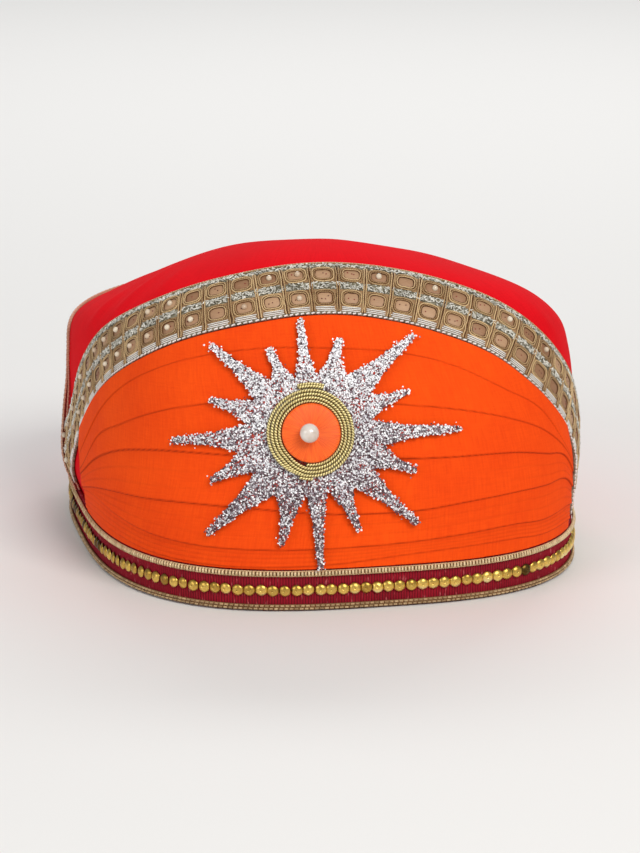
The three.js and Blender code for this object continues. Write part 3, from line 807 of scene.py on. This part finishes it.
pearly_bead = Finish("small pearly bead", Roughness=0.25, Coat_Weight=0.3)
pearly_bead.use(
    Base_Color=pearly_bead.colours(pearly_bead.tone(), (0, (0.5, 0.34, 0.22)), (1, (0.78, 0.68, 0.52)))
)
make_piece("wide_braid_stitches", stitches, red_stitch, [], hidden)
make_piece("wide_braid_beads", pearly, pearly_bead, [], hidden)

# Silver purl: short cut chips sewn at all angles in the two strips. Below the cells each cell has
# three straight silver lines, then come the dashes of the twist, and a fine white thread runs on top.
purl_chips, silver_lines = [], []
for low, high, step in ((18.2, 20.1, 0.26), (9.4, 12.0, 0.2)):
    where = np.arange(0, length, step)
    where = where + random.normal(0, 0.3, len(where))
    level = random.uniform(low + 0.15, high - 0.15, len(where))
    angle = random.normal(0, 0.8, len(where))
    reach = np.linspace(-1, 1, 3) * random.uniform(0.3, 0.75, len(where))[:, None]
    line = joined(
        where[:, None] + np.cos(angle)[:, None] * reach,
        np.clip(level[:, None] + np.sin(angle)[:, None] * reach, low - 0.1, high + 0.1),
        random.uniform(1.3, 1.75, len(where))[:, None],
    )
    purl_chips.append(cords(wide, line, 0.24, 4, False, 1.1 * random.random(len(where)) ** 0.6))
for level in (2.6, 1.95, 1.3):
    offsets = np.linspace(-1, 1, 6) * 3.5
    line = along_cells(cells, offsets + random.normal(0, 0.15, (len(cells), 1)), level, 1.42)
    silver_lines.append(cords(wide, line, 0.2, 5, False, random.uniform(0.85, 1.15, len(cells))))
where = np.arange(0, length, 1.95)
offsets = np.linspace(-1, 1, 4) * 0.62
slant = 0.45 + np.linspace(-1, 1, 4) * 0.14
line = along_cells(where + random.normal(0, 0.06, len(where)), offsets, slant, 1.4)
silver_lines.append(cords(wide, line, 0.36, 6, False, random.uniform(0.75, 1.1, len(where))))
silver_lines.append(cords(wide, joined(run, 20.88, 1.25)[None], 0.13, 4, False, 0.9))
silver = metal_thread("silver purl", (1.0, 0.97, 0.88), (0.2, 0.18, 0.12), 0.55, 0.25, 0.3)
white_silver = metal_thread("white silver thread", (1.0, 0.98, 0.93), (0.4, 0.36, 0.3), 0.5, 0.35, 0.25)
make_piece("wide_braid_purl", purl_chips, silver, [], hidden)
make_piece("wide_braid_silver_lines", silver_lines, white_silver, [], hidden)

# Side edging. A narrow edging that runs over the crown from ear to ear behind the wide braid. It
# stands on the cloth, dark red with a pink-tan cord along each edge of its front, and shows along the
# left outline.
edging_width, edging_thickness = 2, 2.2
edging_step, edging_settle, edging_ease = 2.5, 15, 0.225


def edging_strip():
    """The edging's own measures. At each step it heads along the leaning plane that it is in, a little
    towards it, and its heading eases over to that."""
    azimuth, climb = np.array([edging_foot]), np.array([hem_climb / 2])
    heading = np.cross(side_normal, crown_frame(azimuth, climb)[2])
    azimuths, climbs, headings = [], [], []
    while climb[0] > hem_climb * 0.6:
        azimuths.append(azimuth[0])
        climbs.append(climb[0])
        point = crown_point(azimuth, climb)
        facing = crown_frame(azimuth, climb)[2]
        normal, offset = (side_normal, side_offset) if point[0, 2] < edging_shoulder else top_plane
        course = unit(np.cross(normal, facing))
        course = unit(course - normal * ((point @ normal - offset) / edging_settle)[:, None])
        heading = heading * (1 - edging_ease) + course * edging_ease
        heading = unit(heading - (heading * facing).sum(-1, keepdims=True) * facing)
        headings.append(heading[0])
        azimuth, climb, heading = walk(azimuth, climb, heading, edging_step, 1)
    azimuth, climb, heading = np.array(azimuths), np.array(climbs), np.array(headings)
    upward = unit(np.cross(crown_frame(azimuth, climb)[2], heading))
    beyond = walk(azimuth, climb, upward, edging_width, 2)
    azimuths, climbs = np.stack([azimuth, beyond[0]], axis=1), np.stack([climb, beyond[1]], axis=1)
    return Laid(azimuths, climbs, np.arange(len(azimuth)) * edging_step, np.array([0, edging_width]))


side = edging_strip()
length = side.along[-1]


def stand(along):
    """How far the edging stands up: full at the sides, and nearly flat over the shoulders and the top."""
    height = np.interp(along, side.along, side.points[:, 0, 2])
    share = np.clip((height - 44) / 16, 0, 1)
    return 1 - 0.68 * eased(share)


run = np.linspace(0, length, 260)
body_rise = (edging_thickness - 0.3) * stand(run)[:, None]
red_weave = plain_cotton("dark red edging", (0.3, 0.02, 0.02), (0.14, 0.006, 0.008), 0.8)
make_piece(
    "side_edging",
    [slab(side, run, np.linspace(0.35, edging_width - 0.2, 5), clearance, clearance + body_rise)],
    red_weave,
    ["back_lace"],
    [above_ribbon],
)
run = np.arange(0, length, 0.5)
edge_cords = []
for level, lift in ((0.32, 0.85), (0.32, 2.1), (1.7, 2.1)):
    twist = run * (2 * np.pi / 1.9) + lift
    rise = lift * stand(run) + 0.1 + 0.08 * np.cos(twist)
    line = joined(run, level + 0.08 * np.sin(twist), rise)
    edge_cords.append(cords(side, line[None], 0.4, 6, False, 0.7))
pink_cord = metal_thread("pink gilt cord", (0.72, 0.4, 0.27), (0.26, 0.09, 0.05), 0.9)
make_piece("side_edging_cords", edge_cords, pink_cord, [], [above_ribbon])

# Rim ribbon. Maroon corded ribbon sewn round the head opening, its cords upright, with painted shade,
# near black, in the grooves between the cords and painted highlight in lighter pink streaks on their crests.
ribbon_thickness = 1.2
rib_pitch = 0.95


def rim_strip():
    """The rim's own measures: along the wall from the back, and across from the hem."""
    azimuth = np.linspace(-np.pi, np.pi, 721)
    along = run_along(crown_point(azimuth, hem_climb / 2))
    across = np.array([0, ribbon_top])
    return Laid(azimuth[:, None], (across - ribbon_top) / crown_height, along, across)


rim = rim_strip()
girth = rim.along[-1]


def hoop(along, across, low, high):
    """A flat hoop round the rim: its outer face over along and across, then its inner face."""
    along, across = along[:, None], across[None, :]
    outer, inner = rim.place(along, across, high), rim.place(along, across[:, ::-1], low)
    return grid(tube(outer, inner), joined(along, tube(across, across[:, ::-1])))


ribs = round(girth / rib_pitch)
run = np.linspace(0, girth, ribs * 4 + 1)
cord_rise = np.abs(np.sin(np.pi * run / girth * ribs))[:, None]
levels = np.linspace(ribbon_hem, ribbon_top, 9)
outside = clearance + ribbon_thickness - 0.25 + 0.32 * cord_rise + 0 * levels
maroon = Finish("maroon corded ribbon", Specular_IOR_Level=0.2)
u, v, _ = maroon.split(maroon.map())
# Painted shade: the grooves between the cords are mixed towards near black.
valley = (u * (math.pi * ribs / girth)).sine().math("ABSOLUTE").ramp(0.0, 0.55)
# Painted highlight: lighter pink streaks on the cords' crests.
lights = maroon.noise(maroon.scaled(maroon.map(), (1.1, 0.25, 1)), 1.0, 2).ramp(0.6, 0.72)
clouds = maroon.noise(maroon.place(), 60, 3)
dyed = maroon.colours(clouds, (0.3, (0.22, 0.002, 0.011)), (0.75, (0.34, 0.004, 0.018)))
cloth = maroon.mix(valley, (0.05, 0.001, 0.003), dyed)
maroon.use(
    Base_Color=maroon.mix(lights * valley * 0.45, cloth, (0.72, 0.2, 0.2)), Roughness=0.55 + clouds * 0.25
)
maroon.relief((v * (2 * math.pi / 0.4)).sine() * 0.3 + clouds * 0.3, 0.00012, 0.6)
ribbon = make_piece(
    "rim_ribbon_corded", [hoop(run, levels, clearance, outside)], maroon, ["rim_ribbon"]
)

# Rim braids. Two narrow gold braids over the ribbon's edges: the upper one a ladder of gilt loops,
# the lower one two rows of tan-gold dashes.
braid_height, tape_half, tape_rise = 2.1, 0.95, 0.35
trim_lift = clearance + ribbon_thickness + clearance
upper_middle = ribbon_top - braid_height / 2
lower_middle = ribbon_hem + braid_height / 2
bright_gold = metal_thread("bright gilt thread", (0.95, 0.76, 0.46), (0.42, 0.24, 0.09), 0.45, 0.3)
tan_gold = metal_thread("tan gilt thread", (0.74, 0.52, 0.28), (0.2, 0.1, 0.035), 0.45, 0.35)
rungs = round(girth / 1.15)
where = (np.arange(rungs) + 0.5) * girth / rungs
reach = np.linspace(-1, 1, 5)
line = joined(
    where[:, None] + random.normal(0, 0.05, (rungs, 1)),
    upper_middle + reach * 0.78,
    trim_lift + 0.4 + 0.35 * (1 - reach**2),
)
# Painted light: the loops are lighter towards the front right, and their tone also varies at random.
lit_side = np.cos((where / girth * 2 - 1) * np.pi - 0.5)
ladder_lit_tone = np.clip(0.55 + 0.3 * lit_side + random.normal(0, 0.15, rungs), 0, 1)
ladder = [cords(rim, line, 0.44, 5, False, ladder_lit_tone)]
run = np.linspace(0, girth, 1201)
for level in (upper_middle - 0.85, upper_middle + 0.85):
    ripple = 0.1 * np.sin(run * 2 * np.pi / girth * rungs)
    edge = joined(run, level, trim_lift + tape_rise + ripple)
    ladder.append(cords(rim, edge[None], 0.24, 5, True, 0.5))
make_piece("rim_braid_ladder", ladder, bright_gold)
braid_ground = plain_cotton("braid ground", (0.3, 0.16, 0.07), (0.14, 0.06, 0.025), 0.4)
run = np.linspace(0, girth, 361)
tape_rows = np.linspace(-tape_half, tape_half, 4)
make_piece(
    "rim_braid_upper_tape",
    [hoop(run, upper_middle + tape_rows, trim_lift, trim_lift + tape_rise)],
    braid_ground,
    ["rim_braid_upper"],
)
dashes = round(girth / 1.7)
where = (np.arange(dashes) + 0.5) * girth / dashes
rows = []
for off, shift in ((-0.5, 0.0), (0.5, 0.35)):
    reach = np.linspace(-1, 1, 4) * 0.62
    line = joined(where[:, None] + shift + reach, lower_middle + off, trim_lift + 0.5)
    tone = random.uniform(0.35, 0.95, dashes)
    rows.append(cords(rim, np.clip(line, [0, 0, 0], [girth, 20, 9]), 0.4, 5, False, tone))
make_piece("rim_braid_dashes", rows, tan_gold)
make_piece(
    "rim_braid_lower_tape",
    [hoop(run, lower_middle + tape_rows, trim_lift, trim_lift + tape_rise)],
    braid_ground,
    ["rim_braid_lower"],
)

# Cup sequins. Gilt cups strung edge over edge along the middle of the ribbon with their round sides
# out, and sewn through their middles. Some are tarnished, and a few are lost. They are painted lighter
# towards the front right as painted light, and darker on each cup's lower half as painted shade.
sequin_diameter = 4.2
sequin_middle = ribbon_hem + ribbon_height / 2
sequins = round(girth / 3.95)
where = (np.arange(sequins) + 0.5) * girth / sequins + random.normal(0, 0.1, sequins)
turn = np.linspace(0, 2 * np.pi, 25)
radius = np.array([0.12, 0.7, 1.25, 1.75, sequin_diameter / 2, sequin_diameter / 2, 1.2, 0.12, 0.12])
height = np.array([0.86, 0.86, 0.7, 0.38, 0.05, 0.0, 0.6, 0.76, 0.86])
flats = 1 - 0.035 * (1 + np.cos(turn * 6)) / 2
lean = random.normal(-0.12, 0.06, sequins)[:, None, None]
nod = random.normal(0.0, 0.08, sequins)[:, None, None]
x = radius * (np.cos(turn) * flats)[:, None] + 0 * lean
y = radius * (np.sin(turn) * flats)[:, None] + 0 * lean
z = height + 0 * x
cups = joined(
    np.clip(where[:, None, None] + x * np.cos(lean) + z * np.sin(lean), 0, girth),
    sequin_middle + random.normal(0, 0.1, sequins)[:, None, None] + y * np.cos(nod) - z * np.sin(nod),
    trim_lift + 0.15 + z - x * np.sin(lean) + y * np.sin(nod),
)
# Painted light: the cups are lighter towards the front right.
lit_side = np.cos((where / girth * 2 - 1) * np.pi - 1.1)
polish_and_light = np.clip(0.68 + 0.2 * lit_side + random.normal(0, 0.1, sequins), 0, 1)
polish_and_light[random.random(sequins) < 0.07] = 0.12
# Painted shade: each cup is darker on its lower half.
lit_polish_shaded_below = np.clip(polish_and_light[:, None, None] * (0.82 + 0.32 * y / sequin_diameter * 2), 0, 1)
gilt = Finish("gilt sequin", Metallic=0.95, Specular_IOR_Level=0.6)
stain = gilt.noise(gilt.place(), 500, 3, 0.6)
shade = gilt.tone() * 0.85 + stain * 0.3 - 0.1
gilt.use(
    Base_Color=gilt.colours(
        shade, (0.1, (0.07, 0.04, 0.01)), (0.42, (0.45, 0.27, 0.05)), (0.7, (0.93, 0.66, 0.16)),
        (0.95, (1.0, 0.9, 0.5)),
    ),
    Roughness=0.24 + stain * 0.2,
)
gilt.relief(stain, 0.00005, 0.4)
make_piece(
    "cup_sequins", [grid(rim.at(cups)[:, ::-1], (0, 0), lit_polish_shaded_below)], gilt, ["sequin_string"]
)

# Sunburst. A star of sixteen rays cut from thin felt and covered with chunky glitter flakes, glued
# over the pleats. Some flakes stray past its ragged edges, and a few gaps show the ground.
star_azimuth, star_rise = math.radians(-1.65), 0.4
long_ray, short_ray, star_notch = 49, 36.5, 22
star_thickness, star_stand_off, blunt_tip = 0.8, 0.9, 1.8
star_lift = clearance + swathe_thickness + pleat_rise + star_stand_off

# Heading in degrees, reach of the ray and of the notch after it, as shares; long rays come first.
rays = np.array([
    [2, 1.05, 0.94], [23, 1, 1.09], [43, 1.01, 1.04], [72.5, 0.93, 0.85], [94.5, 0.8, 0.85],
    [115.5, 0.87, 0.98], [137, 0.92, 0.97], [161, 0.96, 0.96], [183, 0.96, 1.1], [206, 1, 1.01],
    [225, 0.99, 1.06], [256, 1.06, 0.9], [275, 0.94, 0.88], [297.5, 0.99, 1.04], [321, 0.98, 1.1],
    [341, 1.05, 1.15],
])
lengths = rays[:, 1] * np.where(np.arange(len(rays)) % 2, short_ray, long_ray)
headings = np.radians(rays[:, 0])
lowest_tip = (-np.sin(headings) * lengths).max()
place = walk(np.array([star_azimuth]), np.array([0.0]), np.array([[0, 0, 1.0]]), lowest_tip + star_rise, 16)
star_place = place[0][0], place[1][0]


def star_sheet():
    """The star's own measures: rightward and upward from its middle, each point walked to."""
    facing = crown_frame(*star_place)[2]
    rightward = unit(np.array([1.0, 0, 0]) - facing * facing[0])
    upward = np.cross(facing, rightward)
    across = np.linspace(-57, 57, 58)
    x, y = np.meshgrid(across, across, indexing="ij")
    reach = np.hypot(x, y)
    course = (x[..., None] * rightward + y[..., None] * upward) / np.maximum(reach, 1e-6)[..., None]
    azimuth, climb = (np.full(x.shape, value) for value in star_place)
    azimuth, climb, _ = walk(azimuth, climb, course + (reach < 1e-6)[..., None] * rightward, reach, 20)
    return Laid(azimuth, climb, across, across)


star = star_sheet()
turns = np.radians(np.mod(np.diff(rays[:, 0], append=rays[0, 0]), 360) / 2)
tips = joined(np.cos(headings), np.sin(headings)) * lengths[:, None]
notch_reach = (rays[:, 2] * star_notch)[:, None]
notches = joined(np.cos(headings + turns), np.sin(headings + turns)) * notch_reach
sideways = joined(-np.sin(headings), np.cos(headings)) * blunt_tip / 2
before, after = (np.roll(notches, 1, axis=0) + tips) * 0.47, (notches + tips) * 0.47
corners = np.stack([before, tips - sideways, tips + sideways, after, notches], axis=1).reshape(-1, 2)


def inside(points, corners):
    """How far each point lies inside a closed outline, below 0 outside: the distance to the nearest
    side, with its sign from the number of sides that a line to the right crosses."""
    start, end = corners[:, None], np.roll(corners, -1, axis=0)[:, None]
    way = end - start
    share = np.clip(((points - start) * way).sum(-1) / (way * way).sum(-1), 0, 1)
    gap = np.linalg.norm(points - start - share[..., None] * way, axis=-1).min(axis=0)
    crosses = (start[..., 1] > points[:, 1]) != (end[..., 1] > points[:, 1])
    rise = np.where(way[..., 1] == 0, 1e-9, way[..., 1])
    right = points[:, 0] < start[..., 0] + (points[:, 1] - start[..., 1]) / rise * way[..., 0]
    return gap * np.where((crosses & right).sum(axis=0) % 2, 1, -1)


def felt_face(depth):
    """Lift of the felt's face: low at its edge, and full a few millimetres in."""
    return star_lift - 0.35 + 0.5 * np.clip(depth / 3, 0, 1)


# Felt: its outline is ragged, and its points run in from there to the middle.
share = np.linspace(0, 1, 6)[:-1, None]
outline = (corners[:, None] * (1 - share) + np.roll(corners, -1, axis=0)[:, None] * share).reshape(-1, 2)
reach = np.linalg.norm(outline, axis=-1, keepdims=True)
outline = outline * (1 + random.normal(0, 0.25, reach.shape) / reach - 0.3 / reach)
radii = np.linspace(1, 0, 12)
felt_points = outline[:, None] * radii[:, None]
felt_points = np.concatenate([felt_points, felt_points[:1]])
depth = inside(felt_points.reshape(-1, 2), corners).reshape(felt_points.shape[:2])
upper = star.place(felt_points[..., 0], felt_points[..., 1], felt_face(depth))
lower = star.place(felt_points[..., 0], felt_points[..., 1], star_lift - 1.0)[:, ::-1]
felt = Finish("glitter ground", Specular_IOR_Level=0.4)
grains = felt.node("ShaderNodeTexVoronoi", {}, {"Vector": felt.place(), "Scale": 1300.0}, "Distance")
specks = Amount(felt, grains)
grounds = felt.noise(felt.place(), 160, 2)
felt.use(
    Base_Color=felt.colours(
        grounds + specks * 0.4 - 0.15, (0.3, (0.04, 0.015, 0.02)), (0.55, (0.22, 0.18, 0.2)),
        (0.68, (0.5, 0.03, 0.008)),
    ),
    Roughness=0.4 + grounds * 0.4,
)
felt.relief(specks, 0.0004, 0.8)
sunburst = make_piece(
    "sunburst_felt", [grid(tube(upper, lower)[:, ::-1])], felt, ["sunburst"]
)

# Flakes: flat eight-sided chips, each turned and tipped its own way. More flakes are darkened towards
# the bottom, as painted shade on the lower rays, and stray flakes lie past the tips.
flake_tries, flake_count, under_medallion, field_half = 90000, 15000, 12, 55
spots = random.uniform(-field_half, field_half, (flake_tries, 2))
depth = inside(spots, corners)
ragged = random.exponential(0.22, len(spots))
near_tip = np.linalg.norm(spots[:, None] - tips, axis=-1).min(axis=1)
stray = (near_tip < 3.5) & (depth > -1.8) & (random.random(len(spots)) < 0.02)
clear = np.hypot(*spots.T) > under_medallion
kept = np.flatnonzero(((depth > 0.16 - ragged) | stray) & clear)[:flake_count]
spots, depth = spots[kept], depth[kept]
flake_size = random.uniform(0.24, 0.46, len(spots))
turn = np.linspace(0, 2 * np.pi, 5)[:-1] + random.uniform(0, np.pi, (len(spots), 1))
corner = joined(
    np.cos(turn) * random.uniform(0.75, 1.2, turn.shape),
    np.sin(turn) * random.uniform(0.75, 1.2, turn.shape),
    0,
) * flake_size[:, None, None]
tip = np.zeros((len(spots), 2, 3))
tip[:, 0, 2], tip[:, 1, 2] = 0.06, -0.06
flake = np.concatenate([corner, tip], axis=1)
lean = random.normal(0, 0.3, (len(spots), 2, 1))
flake[..., 2] += flake[..., 0] * lean[:, 0] + flake[..., 1] * lean[:, 1]
flake += np.concatenate([spots, random.uniform(0.1, 0.4, (len(spots), 1))], axis=1)[:, None]
flake[..., 2] += felt_face(depth)[:, None]
points = star.at(flake)
ring = np.array([[0, 1, 4], [1, 2, 4], [2, 3, 4], [3, 0, 4], [1, 0, 5], [2, 1, 5], [3, 2, 5], [0, 3, 5]])
faces = (np.arange(len(spots))[:, None, None] * 6 + ring).reshape(-1, 3)
# Painted shade: lower on the star more flakes are darkened; everywhere a few are dull at random.
level = np.clip(0.5 + spots[:, 1] / 60, 0, 1)
tone = random.uniform(0.5, 1, len(spots))
dull_and_low_shaded = random.random(len(spots)) < 0.66 - 0.52 * level
tone[dull_and_low_shaded] *= random.uniform(0.05, 0.5, dull_and_low_shaded.sum())
glitter = Finish("glitter flake", Metallic=0.35, Specular_IOR_Level=0.8)
glitter.use(
    Base_Color=glitter.colours(
        glitter.tone(), (0.0, (0.015, 0.01, 0.014)), (0.2, (0.12, 0.04, 0.05)), (0.4, (0.4, 0.37, 0.42)),
        (0.6, (0.8, 0.79, 0.82)), (1.0, (1.0, 1.0, 1.0)),
    ),
    Roughness=0.3 + glitter.noise(glitter.place(), 900) * 0.25,
)
tones = np.repeat(tone, 6)
make_piece(
    "sunburst_glitter",
    [(points.reshape(-1, 3), faces, np.zeros((len(tones), 2)), tones)],
    glitter,
    faceted=True,
)

# Medallion. A card disc wound with orange silk from the middle outwards, ringed by gold purl cord
# coiled flat in close turns, with one pearl sewn to its middle.
pad_diameter, pad_thickness = 19, 2.4
coil_cord, coil_turns, coil_pitch = 1.15, 4, 1.2
pearl_diameter, pearl_aside = 6, 1.0
medallion_lift = star_lift + star_thickness + clearance
pearl_lift = medallion_lift + pad_thickness + clearance + pearl_diameter / 2

threads, floss_map = 110, 100
turn = np.linspace(0, 2 * np.pi, threads * 4 + 1)[:, None]
radii = np.concatenate([np.linspace(0, 0.93, 12), [0.98, 1.0, 1.0]])[None, :]
dome = np.concatenate([1 - 0.22 * np.linspace(0, 0.93, 12) ** 2, [0.76, 0.6, 0.0]])[None, :]
groove = np.abs(np.sin(turn * threads / 2)) * np.clip(radii * 1.6, 0, 1)
height = medallion_lift + dome * (pad_thickness + 0.1 * groove)
radius = radii * pad_diameter / 2
top = star.place(radius * np.cos(turn), radius * np.sin(turn), height)
under = star.place(0 * turn, 0 * turn, medallion_lift + 0 * turn)
silk = Finish("orange silk floss", Specular_IOR_Level=0.35)
u, v, _ = silk.split(silk.map())
strand = silk.noise(silk.scaled(silk.map(), (1.6, 0.15, 1)), 1.0, 2)
# Painted shade: the silk is darker in the grooves between its wound threads.
valley = (u * (math.pi * threads / floss_map)).sine().math("ABSOLUTE").ramp(0, 0.5)
shade = silk.colours(strand, (0.35, (0.86, 0.09, 0.006)), (0.65, (1.0, 0.17, 0.012)))
silk.use(Base_Color=silk.mix(valley, (0.7, 0.06, 0.004), shade), Roughness=0.38 + strand * 0.2)
whole = np.concatenate([top, under], axis=1)
maps = joined(turn * floss_map / (2 * np.pi), np.append(radius[0], 0))
pad = make_piece(
    "medallion_silk", [grid(whole[:, ::-1], maps[:, ::-1])], silk, ["medallion_pad"]
)

bead_pitch, bead_parts = 0.95, 4
inner = pad_diameter / 2 + 0.15 + coil_cord / 2
coil_length = 2 * math.pi * (inner + coil_turns * coil_cord / 2) * (coil_turns + 0.35)
count = int(coil_length / bead_pitch) * bead_parts
spin = np.linspace(0, 1, count + 1)
turns_done = coil_turns * spin**0.94
step_out = np.clip((turns_done % 1 - 0.9) * 10, 0, 1) * (turns_done < coil_turns - 0.2)
radius = inner + coil_pitch * (np.minimum(np.floor(turns_done), coil_turns - 1) + step_out)
turn = -np.pi * 0.55 + 2 * np.pi * turns_done
line = joined(radius * np.cos(turn), radius * np.sin(turn), medallion_lift + 0.55)
run = run_along(line)
beading = coil_cord / 2 * (0.84 + 0.2 * np.abs(np.sin(np.pi * run / bead_pitch)))
# The cord's ends lie flat against the ring's outside: two side by side above it, and one below it.
ends = []
for start, stop, reach, thick in ((74, 106, 15.25, 0.62), (74, 106, 16.1, 0.45), (255, 272, 14.9, 0.5)):
    bend = np.radians(np.linspace(start, stop, 24))
    end = joined(reach * np.cos(bend), reach * np.sin(bend), medallion_lift + 0.3)
    ends.append(cords(star, end[None], thick, 8, False, 0.9))
purl = Finish("gold purl", Metallic=0.7, Specular_IOR_Level=0.5)
u, v, _ = purl.split(purl.map())
# Painted shade: the cord is darkened between its beads.
bead = ((u + v * 0.6) * (math.pi / bead_pitch)).sine().math("ABSOLUTE")
grime = purl.noise(purl.place(), 600, 3)
purl.use(
    Base_Color=purl.colours(
        bead.ramp(0.15, 0.9) * 0.75 + grime * 0.3, (0.12, (0.08, 0.06, 0.015)), (0.5, (0.42, 0.32, 0.1)),
        (0.9, (0.82, 0.7, 0.34)),
    ),
    Roughness=0.32 + grime * 0.25,
)
make_piece(
    "medallion_purl_coil",
    [cords(star, line[None], beading[None], 8, False, 0.5), *ends],
    purl,
    ["medallion_coil"],
)

# The pearl is sewn a little to the left of the middle.
shell = Finish("pearl", Roughness=0.2, Coat_Weight=0.5, Coat_Roughness=0.1, Specular_IOR_Level=0.6)
lustre = shell.noise(shell.place(), 240, 2)
shell.use(Base_Color=shell.colours(lustre, (0.3, (0.62, 0.5, 0.42)), (0.7, (0.8, 0.76, 0.7))))
make_piece(
    "sewn_pearl",
    [beads(star, [-pearl_aside], [0.0], [pearl_lift], pearl_diameter / 2, 0.5, 32, 20)],
    shell,
    ["pearl"],
)
